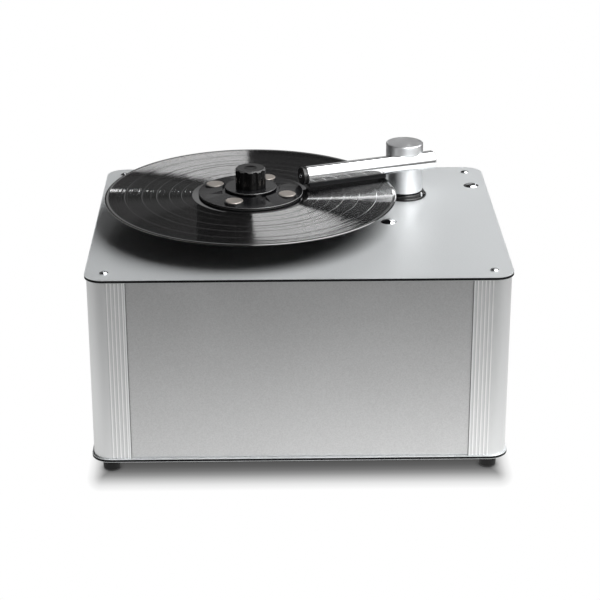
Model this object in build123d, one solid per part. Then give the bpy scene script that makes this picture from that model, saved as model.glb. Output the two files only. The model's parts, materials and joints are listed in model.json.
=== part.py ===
from build123d import *
from math import atan2, cos, degrees, hypot, pi, radians, sin, sqrt
import os

# Record cleaning machine, in millimetres. The origin is on the surface that the feet stand on,
# below the middle of the case. +X is to the right, +Y to the rear and +Z up, seen from the front.

# ---- Driving dimensions: case ----
case_width = 417.0
case_depth = 337.4
case_corner_radius = 19.0
post_height = 189.0
skin_thickness = 0.3
core_thickness = 2.4
plate_overhang = 1.9
post_leg = 38.9
post_wall = 2.2
post_lip = 1.3
post_inner_wall = 1.8
post_slot_depth = 5.0
panel_thickness = 3.0
panel_slot_clearance = 0.2
panel_end_clearance = 0.3
rib_count = 5
rib_pitch = 3.7
rib_groove_width = 1.6
rib_groove_depth = 0.5
rib_first = 4.0
corner_screw_inset = 19.1
screw_port_wall = 3.2

# ---- Driving dimensions: feet and fasteners ----
foot_height = 15.0
foot_radius = 9.2
foot_recess_radius = 5.2
foot_web = 5.5
small_screw_radius = 2.0
small_screw_length = 16.0
small_head_radius = 4.3
small_head_height = 2.4
foot_screw_length = 22.0
thread_clearance = 0.05
hole_clearance = 0.3
cross_recess_width = 0.9
cross_recess_depth = 1.5
tank_bolt_radius = 2.5
tank_bolt_head_radius = 8.2
tank_bolt_head_height = 2.8
tank_bolt_inset = 1.5
tank_bolt_outset = 6.8
nut_across_flats = 8.0
nut_height = 4.0
nut_standout = 1.5

# ---- Driving dimensions: turntable ----
spindle_x = -47.8
spindle_y = 2.0
spindle_radius = 5.0
spindle_pin_radius = 3.6
spindle_pin_height = 15.0
record_radius = 150.8
record_thickness = 1.7
record_groove_inset = 0.25
record_rim_width = 3.2
record_label_radius = 50.0
record_above_deck = 28.0
platter_radius = 52.5
platter_thickness = 10.5
platter_hub_radius = 16.0
platter_hub_gap = 3.0
platter_pad_radius = 50.0
platter_pad_thickness = 1.8
bearing_sleeve_radius = 12.0
bearing_sleeve_length = 37.0
bearing_flange_radius = 36.0
bearing_flange_thickness = 5.0
bearing_boss_radius = 9.0
bearing_boss_height = 1.0
bush_radius = 7.0
bush_length = 8.0
bush_flange_thickness = 1.7
shaft_clearance = 0.05
bearing_screw_circle = 28.0
bearing_screw_count = 4

# ---- Driving dimensions: drive ----
gear_module = 1.5
spindle_gear_teeth = 60
pinion_teeth = 20
gear_width = 8.0
gear_backlash = 0.35
gear_below_bearing = 7.0
gear_hub_radius = 10.0
pinion_shaft_radius = 4.0
pinion_shaft_reach = 15.0
gearmotor_radius = 30.0
gearmotor_height = 34.0
gearmotor_boss_radius = 9.0
gearmotor_boss_height = 3.0
gearmotor_stud_circle = 22.0
bracket_thickness = 2.5
bracket_margin = 4.0

# ---- Driving dimensions: record clamp ----
clamp_radius = 54.1
clamp_rim_height = 3.0
clamp_cone_height = 6.2
clamp_collar_radius = 26.8
clamp_collar_top = 8.7
clamp_recess_radius = 30.0
clamp_floor_height = 4.2
clamp_channel_width = 9.0
clamp_arm_count = 4
clamp_channel_turn = 22.0
clamp_weight_turn = 66.0
clamp_weight_circle = 40.8
clamp_weight_radius = 9.0
clamp_weight_top = 6.0
clamp_weight_thickness = 1.8
clamp_boss_wall = 1.2
clamp_boss_top = 5.2
clamp_pad_thickness = 1.0
clamp_pad_inner_radius = 30.0
clamp_bore_clearance = 0.3
knob_radius = 15.8
knob_top = 28.5
knob_lobes = 10
knob_flute_radius = 7.0
knob_flute_depth = 0.9
knob_chamfer = 1.6
knob_dish_radius = 7.2
knob_dish_depth = 1.1
seat_gap = 0.05

# ---- Driving dimensions: suction arm ----
column_direction = 24.434
column_record_gap = 9.852
column_radius = 19.7
column_top_above_deck = 58.9
column_gap_above_deck = 6.9
column_chamfer = 0.7
column_bore_wall = 2.2
column_mark_radius = 0.9
column_mark_depth = 1.6
column_mark_offset = (4.6, -11.6)
tube_offset = 13.1
tube_radius = 9.75
tube_wall = 1.4
tube_above_record = 12.4
tube_tip_gap = 1.57
tube_tail_reach = 26.0
tube_seat_clearance = 0.05
tube_slot_width = 2.0
strip_width = 4.0
strip_gap_to_record = 0.3
strip_margin = 2.5
plug_standout = 5.8
plug_step = 0.3
plug_bevel = 0.8
plug_insert = 4.0
plug_groove_width = 1.2
plug_groove_depth = 0.7
plug_screw_head_radius = 2.6
plug_screw_radius = 1.5
plug_screw_length = 6.0
tail_cap_thickness = 1.6
tail_cap_insert = 6.0
base_ring_radius = 24.2
base_ring_thickness = 2.6
base_collar_radius = 22.0
base_collar_height = 5.5
base_sleeve_radius = 17.0
base_sleeve_length = 20.0
guide_bush_radius = 14.5
riser_radius = 12.0
riser_wall = 2.0
riser_reach_below_deck = 34.0
spring_wire_radius = 0.7
spring_radius = 15.0
spring_turns = 3
spring_space = 10.0
lift_collar_height = 1.8
lift_collar_clearance = 0.3
riser_gap_to_tube = 1.8
passage_radius = 8.0

# ---- Driving dimensions: waste tank and drain ----
tank_lid_thickness = 6.0
tank_depth = 100.0
tank_left_from_column = 22.9
tank_rear_from_column = 20.4
tank_edge_margin = 15.0
tank_height = 138.0
tank_wall = 2.5
tank_corner_radius = 10.0
tank_lug_radius = 8.0
tank_rim_depth = 3.0
tank_rim_clearance = 0.2
tank_stub_length = 10.0
drain_pipe_radius = 8.0
drain_pipe_wall = 2.5
drain_height = 13.0
port_flange_radius = 22.0
port_post_gap = 2.2
port_flange_thickness = 2.0
port_bore_radius = 4.0
port_cup_radius = 18.0
port_wall = 2.0
port_depth = 24.0
port_spigot_length = 11.0
port_stub_length = 8.0
plug_cap_radius = 12.0
plug_cap_length = 17.0
plug_grip_count = 16
plug_grip_radius = 1.2
plug_stem_length = 8.0
drain_plug_gap = 0.3

# ---- Driving dimensions: vacuum unit ----
fan_left_margin = 83.5
fan_radius = 50.0
fan_wall = 2.0
fan_height = 30.0
fan_window_count = 8
fan_window_width = 14.0
fan_window_height = 10.0
impeller_gap = 3.0
impeller_plate = 1.5
impeller_blade_height = 13.0
impeller_blade_count = 9
impeller_blade_thickness = 1.4
impeller_radius = 45.0
impeller_hub_radius = 9.0
impeller_shaft_radius = 4.0
impeller_shaft_reach = 18.0
vacuum_motor_radius = 40.0
vacuum_motor_height = 76.0
vacuum_motor_flange = 4.0
mount_ring_height = 6.0
mount_ring_width = 12.0
hose_radius = 11.0
hose_wall = 2.0
hose_bend_radius = 32.0
hose_rise_above_bend = 11.0
hose_from_tank_rear = 25.0
inlet_collar_height = 10.0
vent_count = 12
vent_width = 3.0
vent_pitch = 6.5
vent_length = 32.0
vent_height = 152.0

# ---- Driving dimensions: electrical fittings ----
rocker_half_length = 8.3
rocker_half_width = 5.6
rocker_neutral_rise = 1.7
rocker_dip = 0.8
rocker_pivot_depth = 2.0
rocker_pin_radius = 1.0
rocker_pin_length = 0.9
rocker_clearance = 0.35
rocker_body_depth = 18.0
rocker_bezel_thickness = 1.5
rocker_bezel_border = 1.3
rocker_wall = 1.2
vacuum_rocker_tilt = 9.0
switch_from_post = 27.9
switch_height = 150.0
switch_spacing = 32.0
inlet_left_margin = 118.5
inlet_height = 70.0
inlet_flange_width = 34.0
inlet_flange_height = 40.0
inlet_flange_thickness = 2.2
inlet_body_margin = 3.0
inlet_body_depth = 26.0
inlet_socket_width = 24.0
inlet_socket_height = 16.0
inlet_socket_depth = 16.0
inlet_socket_wall = 2.0
inlet_pin_height = 7.0
inlet_pin_thickness = 2.0
inlet_pin_width = 4.0
inlet_pin_pitch = 7.0
fuse_width = 22.0
fuse_height = 8.0
fuse_depth = 20.0
fuse_wall = 1.5
fuse_drawer_wall = 1.5
fuse_clearance = 0.3
board_width = 110.0
board_depth = 80.0
board_thickness = 1.6
board_left_margin = 113.5
board_front_margin = 73.7
board_standoff = 9.0
board_post_radius = 3.0
board_post_inset = 6.0
transformer_size = (46.0, 38.0, 34.0)
transformer_inset = 8.0
capacitor_radius = 10.0
capacitor_height = 30.0
terminal_size = (12.0, 30.0, 11.0)
terminal_inset = 2.0

# ---- Levels and places that follow from them ----
plate_thickness = core_thickness + 2 * skin_thickness
post_z = foot_height + plate_thickness
top_plate_z = post_z + post_height
deck_z = top_plate_z + plate_thickness
record_top_z = deck_z + record_above_deck
half_width = case_width / 2
half_depth = case_depth / 2
panel_setback = plate_overhang + post_lip
post_corner_radius = case_corner_radius - plate_overhang
port_radius = small_screw_radius + thread_clearance
corner_places = [
    (sx * (half_width - corner_screw_inset), sy * (half_depth - corner_screw_inset))
    for sx in (-1, 1)
    for sy in (-1, 1)
]
inlet_x = inlet_left_margin - half_width
board_x = board_left_margin - half_width
board_y = board_front_margin - half_depth
post_leg_end_x = half_width - plate_overhang - post_leg
post_leg_end_y = half_depth - plate_overhang - post_leg
bearing_places = [
    (
        spindle_x + bearing_screw_circle * cos(2 * pi * (i + 0.5) / bearing_screw_count),
        spindle_y + bearing_screw_circle * sin(2 * pi * (i + 0.5) / bearing_screw_count),
    )
    for i in range(bearing_screw_count)
]
record_bottom_z = record_top_z - record_thickness
platter_top_z = record_bottom_z - platter_pad_thickness
platter_bottom_z = platter_top_z - platter_thickness
hub_bottom_z = deck_z + platter_hub_gap
flange_bottom_z = top_plate_z - bearing_flange_thickness
sleeve_bottom_z = flange_bottom_z - bearing_sleeve_length
bracket_bottom_z = flange_bottom_z - bracket_thickness
gear_top_z = sleeve_bottom_z - gear_below_bearing
gear_bottom_z = gear_top_z - gear_width
shaft_bore = spindle_radius + shaft_clearance
gear_distance = gear_module * (spindle_gear_teeth + pinion_teeth) / 2
motor_x = spindle_x
motor_y = spindle_y - gear_distance
motor_bottom_z = bracket_bottom_z - gearmotor_height
stud_places = [(motor_x + side * gearmotor_stud_circle, motor_y) for side in (-1, 1)]
column_bottom_z = deck_z + column_gap_above_deck
column_top_z = deck_z + column_top_above_deck
collar_top_z = deck_z + base_collar_height
lift_collar_z = collar_top_z + spring_space
riser_seat_z = lift_collar_z + lift_collar_height + seat_gap
tube_z = record_top_z + tube_above_record
riser_top_z = tube_z - tube_radius - riser_gap_to_tube
column_bore_radius = column_radius - column_bore_wall
column_distance = record_radius + column_record_gap + column_radius
column_x = spindle_x + column_distance * cos(radians(column_direction))
column_y = spindle_y + column_distance * sin(radians(column_direction))
tube_run = sqrt(column_distance**2 - tube_offset**2)
tube_tip_reach = tube_run - clamp_radius - tube_tip_gap - plug_standout
tube_angle = radians(column_direction) - atan2(tube_offset, tube_run)
tube_frame = Location(
    (column_x + tube_offset * sin(tube_angle), column_y - tube_offset * cos(tube_angle), tube_z),
    (0, 0, degrees(tube_angle)),
)
tank_left_x = column_x - tank_left_from_column
tank_right_x = half_width - tank_edge_margin
tank_rear_y = column_y + tank_rear_from_column
tank_front_y = tank_rear_y - tank_depth
tank_x = (tank_left_x + tank_right_x) / 2
tank_y = (tank_front_y + tank_rear_y) / 2
tank_width = tank_right_x - tank_left_x
tank_bolt_places = [
    (tank_left_x + tank_bolt_inset, tank_front_y - tank_bolt_outset),
    (tank_right_x - tank_bolt_inset, tank_rear_y + tank_bolt_outset),
]
drain_x = post_leg_end_x - port_post_gap - port_flange_radius
fan_x = fan_left_margin - half_width
fan_y = tank_rear_y - hose_from_tank_rear
lid_bottom_z = top_plate_z - tank_lid_thickness
tank_bottom_z = lid_bottom_z - tank_height
drain_z = tank_bottom_z + drain_height
drain_bore = drain_pipe_radius - drain_pipe_wall
panel_face_y = half_depth - panel_setback
panel_face_x = half_width - panel_setback
cup_bottom_y = panel_face_y - port_depth
motor_foot_z = post_z + mount_ring_height
motor_top_z = motor_foot_z + vacuum_motor_height
fan_top_z = motor_top_z + fan_height
hose_z = fan_top_z + hose_bend_radius + hose_rise_above_bend
stub_radius = hose_radius - hose_wall - thread_clearance
switch_y = switch_from_post - post_leg_end_y
switch_places = (switch_y - switch_spacing / 2, switch_y + switch_spacing / 2)
inlet_body_half_z = inlet_flange_height / 2 - inlet_body_margin
inlet_socket_drop = inlet_body_half_z - inlet_socket_wall - inlet_socket_height / 2
fuse_rise = inlet_body_half_z - fuse_wall - fuse_height / 2


# ---- Small shapes that many pieces share ----
def cyl(radius, low, high, x=0.0, y=0.0):
    """An upright cylinder between two heights."""
    return Pos(x, y, (low + high) / 2) * Cylinder(radius, high - low)


def rod_x(radius, start, end, y=0.0, z=0.0):
    """A cylinder that lies along X."""
    return Pos((start + end) / 2, y, z) * Rot(0, 90, 0) * Cylinder(radius, end - start)


def rod_y(radius, start, end, x=0.0, z=0.0):
    """A cylinder that lies along Y."""
    return Pos(x, (start + end) / 2, z) * Rot(90, 0, 0) * Cylinder(radius, end - start)


def block(x0, x1, y0, y1, z0, z1):
    """A box between two corners."""
    return Pos((x0 + x1) / 2, (y0 + y1) / 2, (z0 + z1) / 2) * Box(x1 - x0, y1 - y0, z1 - z0)


def rect(x0, x1, y0, y1):
    """A rectangle between two corners."""
    return Pos((x0 + x1) / 2, (y0 + y1) / 2) * Rectangle(x1 - x0, y1 - y0)


def turned(points, x=0.0, y=0.0):
    """A solid turned about an upright axis, from its half section as (radius, height) points."""
    outline = Polyline(*[(radius, 0, height) for radius, height in points], close=True)
    return Pos(x, y, 0) * revolve(make_face(outline), Axis.Z)


def domed_head(radius, side, height):
    """A screw head on z = 0 with a short upright side and a domed top."""
    rise = height - side
    ball = (radius**2 + rise**2) / (2 * rise)
    return cyl(radius, 0, height) & Pos(0, 0, height - ball) * Sphere(ball)


def cross_screw(head_radius, head_height, radius, length):
    """A pan-head screw with a cross recess: its head stands on z = 0 and its shank hangs below."""
    head = domed_head(head_radius, head_height / 3, head_height)
    arm = head_radius * 1.1
    recess = Box(arm, cross_recess_width, 2 * cross_recess_depth)
    recess += Box(cross_recess_width, arm, 2 * cross_recess_depth)
    return head - Pos(0, 0, head_height) * recess + cyl(radius, -length, 0)


def group(solids):
    """Several separate solids of one node."""
    return Compound(children=[solid for shape in solids for solid in shape.solids()])


# ---- Case ----
def plate_layer(low, high, holes):
    """One layer of a plate, with round holes given as (x, y, radius)."""
    layer = extrude(RectangleRounded(case_width, case_depth, case_corner_radius), high - low)
    for x, y, radius in holes:
        layer -= cyl(radius, -1, high - low + 1, x, y)
    return Pos(0, 0, low) * layer


def plate(low, holes):
    """A composite plate: its two metal skins, and the core between them."""
    high = low + plate_thickness
    lower_skin = plate_layer(low, low + skin_thickness, holes)
    upper_skin = plate_layer(high - skin_thickness, high, holes)
    core = plate_layer(low + skin_thickness, high - skin_thickness, holes)
    return group([lower_skin, upper_skin]), core


def corner_square(inset):
    """A square whose corner near the origin is rounded, set in from the post's outer faces."""
    far = post_leg + inset
    centre = post_corner_radius
    square = rect(centre, far, inset, far) + rect(inset, far, centre, far)
    return square + Pos(centre, centre) * Circle(centre - inset)


def both_legs(x0, x1, y0, y1):
    """The same rectangle on the leg along X and on the leg along Y."""
    return rect(x0, x1, y0, y1) + rect(y0, y1, x0, x1)


def corner_post():
    """A ribbed corner extrusion, with its outer corner at the origin and its legs along X and Y."""
    slot_width = panel_thickness + panel_slot_clearance
    end_depth = post_lip + slot_width + post_inner_wall
    slot_start = post_leg - post_slot_depth
    port_centre = corner_screw_inset - plate_overhang
    web_start = post_corner_radius * (sqrt(2) - 1) + post_wall / 2
    web_end = port_centre * sqrt(2)
    section = corner_square(0) - corner_square(post_wall)
    section += both_legs(slot_start - post_inner_wall, post_leg, 0, end_depth)
    section -= both_legs(slot_start, post_leg + 1, post_lip, post_lip + slot_width)
    section += Rot(0, 0, 45) * rect(web_start, web_end, -post_wall / 2, post_wall / 2)
    section += Pos(port_centre, port_centre) * Circle(port_radius + screw_port_wall)
    for i in range(rib_count):
        middle = post_leg - rib_first - i * rib_pitch
        edge = rib_groove_width / 2
        section -= both_legs(middle - edge, middle + edge, -1, rib_groove_depth)
    section -= Pos(port_centre, port_centre) * Circle(port_radius)
    return extrude(section, post_height)


def placed_post(right, rear):
    """The corner post turned into one of the four corners of the case."""
    corner = (plate_overhang - half_width, plate_overhang - half_depth, post_z)
    post = Pos(*corner) * corner_post()
    if right:
        post = mirror(post, Plane.YZ)
    if rear:
        post = mirror(post, Plane.XZ)
    return post


def panel_half_length(half_side):
    """Half the length of a panel, from the middle of the case into the post's slot."""
    return half_side - plate_overhang - post_leg + post_slot_depth - panel_end_clearance


def front_panel():
    reach = panel_half_length(half_width)
    return block(-reach, reach, -panel_face_y, panel_thickness - panel_face_y, post_z, top_plate_z)


def rear_panel():
    panel = mirror(front_panel(), Plane.XZ)
    far = panel_face_y + 1
    near = panel_face_y - panel_thickness - 1
    half_body = inlet_flange_width / 2 - inlet_body_margin + hole_clearance
    body_rise = inlet_body_half_z + hole_clearance
    panel -= block(
        inlet_x - half_body, inlet_x + half_body, near, far,
        inlet_height - body_rise, inlet_height + body_rise,
    )
    panel -= rod_y(port_cup_radius + port_wall + hole_clearance, near, far, drain_x, drain_z)
    for i in range(vent_count):
        x = fan_x + (i - (vent_count - 1) / 2) * vent_pitch
        slot = block(
            x - vent_width / 2, x + vent_width / 2, near, far,
            vent_height - vent_length / 2, vent_height + vent_length / 2,
        )
        panel -= slot
    return panel


def left_panel():
    reach = panel_half_length(half_depth)
    return block(-panel_face_x, panel_thickness - panel_face_x, -reach, reach, post_z, top_plate_z)


def right_panel():
    panel = mirror(left_panel(), Plane.YZ)
    half_width_y = switch_cavity_half_width + rocker_wall + hole_clearance
    half_rise = switch_cavity_half_length + rocker_wall + hole_clearance
    for y in switch_places:
        panel -= block(
            panel_face_x - panel_thickness - 1, panel_face_x + 1,
            y - half_width_y, y + half_width_y,
            switch_height - half_rise, switch_height + half_rise,
        )
    return panel


def foot():
    """A rubber foot with a recess for its screw, standing on z = 0."""
    edge = 1.5
    side = foot_radius - 0.6
    body = turned(
        [(0, 0), (side - edge, 0), (side, edge), (foot_radius, foot_height), (0, foot_height)]
    )
    body -= cyl(foot_recess_radius, -1, foot_height - foot_web)
    return body - cyl(small_screw_radius + hole_clearance, 0, foot_height + 1)


def foot_screw():
    """A screw that comes up through a foot, its head below."""
    screw = cross_screw(small_head_radius, small_head_height, small_screw_radius, foot_screw_length)
    return Pos(0, 0, foot_height - foot_web) * Rot(180, 0, 0) * screw


# ---- Turntable ----
def bush(seat, upwards):
    """A flanged bearing bush whose flange stands on the seat height."""
    step = 1 if upwards else -1
    points = [
        (shaft_bore, seat - step * bush_length),
        (bush_radius, seat - step * bush_length),
        (bush_radius, seat),
        (bush_radius + 2, seat),
        (bush_radius + 2, seat + step * bush_flange_thickness),
        (shaft_bore, seat + step * bush_flange_thickness),
    ]
    return turned(points, spindle_x, spindle_y)


def bearing_housing():
    boss_top = deck_z + bearing_boss_height
    housing = cyl(bearing_flange_radius, flange_bottom_z, top_plate_z)
    housing += cyl(bearing_sleeve_radius, sleeve_bottom_z, flange_bottom_z)
    housing += cyl(bearing_boss_radius, top_plate_z, boss_top)
    housing -= cyl(bush_radius + thread_clearance, sleeve_bottom_z - 1, boss_top + 1)
    housing = Pos(spindle_x, spindle_y, 0) * housing
    for x, y in bearing_places:
        housing -= cyl(tank_bolt_radius + hole_clearance, flange_bottom_z - 1, top_plate_z + 1, x, y)
    return housing


def spindle():
    tip = 1.2
    pin_top = record_top_z + spindle_pin_height
    return turned(
        [
            (0, gear_bottom_z),
            (spindle_radius, gear_bottom_z),
            (spindle_radius, platter_top_z),
            (spindle_pin_radius, platter_top_z),
            (spindle_pin_radius, pin_top - tip),
            (spindle_pin_radius - tip, pin_top),
            (0, pin_top),
        ],
        spindle_x,
        spindle_y,
    )


def platter_disc():
    bevel = 1.0
    bore = spindle_radius + thread_clearance
    return turned(
        [
            (bore, hub_bottom_z),
            (platter_hub_radius, hub_bottom_z),
            (platter_hub_radius, platter_bottom_z),
            (platter_radius - bevel, platter_bottom_z),
            (platter_radius, platter_bottom_z + bevel),
            (platter_radius, platter_top_z - bevel),
            (platter_radius - bevel, platter_top_z),
            (bore, platter_top_z),
        ],
        spindle_x,
        spindle_y,
    )


def platter_pad():
    pad = cyl(platter_pad_radius, platter_top_z, record_bottom_z, spindle_x, spindle_y)
    return pad - cyl(spindle_radius, platter_top_z - 1, record_bottom_z + 1, spindle_x, spindle_y)


def record():
    """A 12 inch record: raised label, slightly sunk grooves on both sides, and a raised rim."""
    hole = spindle_pin_radius + thread_clearance
    groove_start = record_label_radius + 2
    rim_start = record_radius - record_rim_width
    upper = [
        (hole, record_top_z),
        (record_label_radius, record_top_z),
        (groove_start, record_top_z - record_groove_inset),
        (rim_start, record_top_z - record_groove_inset),
        (rim_start + record_rim_width / 2, record_top_z),
        (record_radius, record_top_z - record_groove_inset),
    ]
    middle = record_top_z - record_thickness / 2
    lower = [(radius, 2 * middle - height) for radius, height in reversed(upper)]
    return turned(upper + lower, spindle_x, spindle_y)


def gear(teeth, bore, first_angle):
    """A spur gear with straight-flanked teeth, the first of them centred on an angle."""
    pitch_radius = gear_module * teeth / 2
    tip_radius = pitch_radius + gear_module
    root_radius = pitch_radius - 1.25 * gear_module
    half_tooth = gear_module * pi / 4 - gear_backlash / 2
    slope = 0.36
    tip_half = (half_tooth - slope * gear_module) / tip_radius
    root_half = (half_tooth + 1.25 * slope * gear_module) / root_radius
    points = []
    for i in range(teeth):
        middle = first_angle + 2 * pi * i / teeth
        for radius, offset in (
            (root_radius, -root_half),
            (tip_radius, -tip_half),
            (tip_radius, tip_half),
            (root_radius, root_half),
        ):
            points.append((radius * cos(middle + offset), radius * sin(middle + offset)))
    wheel = make_face(Polyline(*points, close=True))
    return Pos(0, 0, gear_bottom_z) * extrude(wheel - Circle(bore), gear_width)


def spindle_gear():
    """The large gear, with a hub that rises to just below the lower bush."""
    bore = spindle_radius + thread_clearance
    wheel = gear(spindle_gear_teeth, bore, -pi / 2)
    hub_top = sleeve_bottom_z - bush_flange_thickness - hole_clearance
    hub = cyl(gear_hub_radius, gear_top_z, hub_top) - cyl(bore, gear_top_z - 1, hub_top + 1)
    return Pos(spindle_x, spindle_y, 0) * (wheel + hub)


def motor_pinion():
    """The pinion and its shaft, which turns inside the gearmotor."""
    wheel = gear(pinion_teeth, pinion_shaft_radius / 2, pi / 2 + pi / pinion_teeth)
    shaft_top = motor_bottom_z - gearmotor_boss_height + pinion_shaft_reach
    return Pos(motor_x, motor_y, 0) * (wheel + cyl(pinion_shaft_radius, gear_bottom_z, shaft_top))


def gearmotor():
    boss_bottom = motor_bottom_z - gearmotor_boss_height
    edge = 1.5
    body = turned(
        [
            (0, boss_bottom),
            (gearmotor_boss_radius, boss_bottom),
            (gearmotor_boss_radius, motor_bottom_z),
            (gearmotor_radius - edge, motor_bottom_z),
            (gearmotor_radius, motor_bottom_z + edge),
            (gearmotor_radius, bracket_bottom_z),
            (0, bracket_bottom_z),
        ],
        motor_x,
        motor_y,
    )
    stud_top = bracket_bottom_z + bracket_thickness + nut_height + hole_clearance
    for x, y in stud_places:
        body += cyl(tank_bolt_radius, bracket_bottom_z - 1, stud_top, x, y)
    bore_top = boss_bottom + pinion_shaft_reach + 1
    return body - cyl(pinion_shaft_radius + shaft_clearance, boss_bottom - 1, bore_top, motor_x, motor_y)


def motor_bracket():
    """A flat plate that hangs the gearmotor beside the bearing housing."""
    motor_pad = gearmotor_radius + bracket_margin
    outline = Pos(spindle_x, spindle_y) * Circle(bearing_flange_radius)
    outline += Pos(motor_x, motor_y) * Circle(motor_pad)
    outline += rect(spindle_x - motor_pad, spindle_x + motor_pad, motor_y, spindle_y)
    outline -= Pos(spindle_x, spindle_y) * Circle(bearing_sleeve_radius + hole_clearance)
    for x, y in bearing_places + stud_places:
        outline -= Pos(x, y) * Circle(tank_bolt_radius + hole_clearance)
    return Pos(0, 0, bracket_bottom_z) * extrude(outline, bracket_thickness)


def bearing_screw():
    """A machine screw through the top plate, the bearing flange and the motor bracket."""
    length = deck_z - bracket_bottom_z + nut_height + nut_standout
    return cross_screw(small_head_radius, small_head_height, tank_bolt_radius, length)


def lock_nut():
    """A hexagon nut that stands on z = 0."""
    flats = RegularPolygon(nut_across_flats / 2, 6, major_radius=False)
    return extrude(flats - Circle(tank_bolt_radius + thread_clearance), nut_height)


# ---- Record clamp ----
def clamp_disc():
    """The clamp's coned disc with its collar, ring recess, radial channels and weight seats."""
    bottom = record_top_z + seat_gap + clamp_pad_thickness
    rim_top = record_top_z + clamp_rim_height
    cone_top = record_top_z + clamp_cone_height
    floor = record_top_z + clamp_floor_height
    collar_top = record_top_z + clamp_collar_top
    bore = spindle_pin_radius + clamp_bore_clearance
    bevel = 0.5
    disc = turned(
        [
            (bore, bottom),
            (clamp_radius, bottom),
            (clamp_radius, rim_top - bevel),
            (clamp_radius - bevel, rim_top),
            (clamp_recess_radius, cone_top),
            (clamp_recess_radius, floor),
            (clamp_collar_radius, floor),
            (clamp_collar_radius, collar_top - bevel),
            (clamp_collar_radius - bevel, collar_top),
            (bore, collar_top),
        ]
    )
    hub = cyl(clamp_collar_radius, floor, collar_top)
    seat_floor = record_top_z + clamp_weight_top - clamp_weight_thickness
    seat_radius = clamp_weight_radius + thread_clearance
    for i in range(clamp_arm_count):
        turn = 360 * i / clamp_arm_count
        half = clamp_channel_width / 2
        channel = block(0, clamp_radius, -half, half, floor, collar_top) - hub
        disc -= Rot(0, 0, clamp_channel_turn + turn) * channel
        boss = cyl(seat_radius + clamp_boss_wall, bottom, record_top_z + clamp_boss_top, clamp_weight_circle)
        seat = cyl(seat_radius, seat_floor, collar_top, clamp_weight_circle)
        disc += Rot(0, 0, clamp_weight_turn + turn) * boss
        disc -= Rot(0, 0, clamp_weight_turn + turn) * seat
    return Pos(spindle_x, spindle_y, 0) * disc


def clamp_weights():
    """The four coin-shaped discs set in the clamp, each with a softened edge."""
    top = record_top_z + clamp_weight_top
    bottom = top - clamp_weight_thickness
    bevel = 0.35
    coin = turned(
        [
            (0, bottom),
            (clamp_weight_radius, bottom),
            (clamp_weight_radius, top - bevel),
            (clamp_weight_radius - bevel, top),
            (0, top),
        ]
    )
    coins = []
    for i in range(clamp_arm_count):
        turn = clamp_weight_turn + 360 * i / clamp_arm_count
        coins.append(Pos(spindle_x, spindle_y, 0) * Rot(0, 0, turn) * Pos(clamp_weight_circle, 0, 0) * coin)
    return group(coins)


def clamp_pad():
    bottom = record_top_z + seat_gap
    top = bottom + clamp_pad_thickness
    ring = cyl(clamp_radius - 1, bottom, top) - cyl(clamp_pad_inner_radius, bottom - 1, top + 1)
    return Pos(spindle_x, spindle_y, 0) * ring


def clamp_knob():
    """A scalloped knob with a shallow dish in its top and a blind bore for the spindle's pin."""
    bottom = record_top_z + clamp_collar_top + clamp_bore_clearance
    top = record_top_z + knob_top
    knob = turned(
        [
            (0, bottom),
            (knob_radius, bottom),
            (knob_radius, top - knob_chamfer),
            (knob_radius - knob_chamfer, top),
            (0, top),
        ]
    )
    flute_circle = knob_radius - knob_flute_depth + knob_flute_radius
    flute = cyl(knob_flute_radius, bottom - 1, top + 1, flute_circle)
    for i in range(knob_lobes):
        knob -= Rot(0, 0, 360 * i / knob_lobes) * flute
    ball = (knob_dish_radius**2 + knob_dish_depth**2) / (2 * knob_dish_depth)
    knob -= Pos(0, 0, top - knob_dish_depth + ball) * Sphere(ball)
    bore_top = record_top_z + spindle_pin_height + 1
    knob -= cyl(spindle_pin_radius + clamp_bore_clearance, bottom - 1, bore_top)
    return Pos(spindle_x, spindle_y, 0) * knob


# ---- Suction arm ----
# Pieces along the tube are drawn in the tube's own frame: X runs from the tip to the tail, Y towards
# the column's axis, and the origin is on the tube's axis at its nearest point to the column's axis.
record_edge_x = record_radius - tube_run
slot_start_x = plug_insert + 1 - tube_tip_reach
slot_end_x = record_edge_x - strip_margin


def suction_tube():
    bore = tube_radius - tube_wall
    tube = rod_x(tube_radius, -tube_tip_reach, tube_tail_reach)
    tube -= rod_x(bore, -tube_tip_reach - 1, tube_tail_reach + 1)
    half_slot = tube_slot_width / 2
    tube -= block(slot_start_x, slot_end_x, -half_slot, half_slot, -tube_radius - 1, 0)
    tube -= cyl(passage_radius - 1, -tube_radius - 1, 0, 0, tube_offset)
    return tube_frame * tube


def velvet_strips():
    """Two strips of velvet under the tube, one on each side of its slot."""
    bottom = strip_gap_to_record - tube_above_record
    strips = []
    for side in (-1, 1):
        near = side * tube_slot_width / 2
        far = near + side * strip_width
        strip = block(slot_start_x - strip_margin, record_edge_x, min(near, far), max(near, far), bottom, 0)
        strips.append(tube_frame * (strip - rod_x(tube_radius, -tube_tip_reach, 0)))
    return group(strips)


def tube_end_plug():
    """The black plug at the arm's tip, with a shallow groove around it and a screw hole."""
    face = -tube_tip_reach - plug_standout
    groove_x = face + plug_standout / 2
    bore = tube_radius - tube_wall - thread_clearance
    plug = rod_x(tube_radius - plug_step, face, -tube_tip_reach)
    plug += rod_x(bore, -tube_tip_reach, -tube_tip_reach + plug_insert)
    plug = chamfer(plug.edges().group_by(Axis.X)[0], plug_bevel)
    ring = rod_x(tube_radius, groove_x, groove_x + plug_groove_width)
    neck = tube_radius - plug_step - plug_groove_depth
    plug -= ring - rod_x(neck, groove_x - 1, groove_x + plug_groove_width + 1)
    plug -= rod_x(plug_screw_radius + thread_clearance, face - 1, face + plug_screw_length + 1)
    return tube_frame * plug


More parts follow.
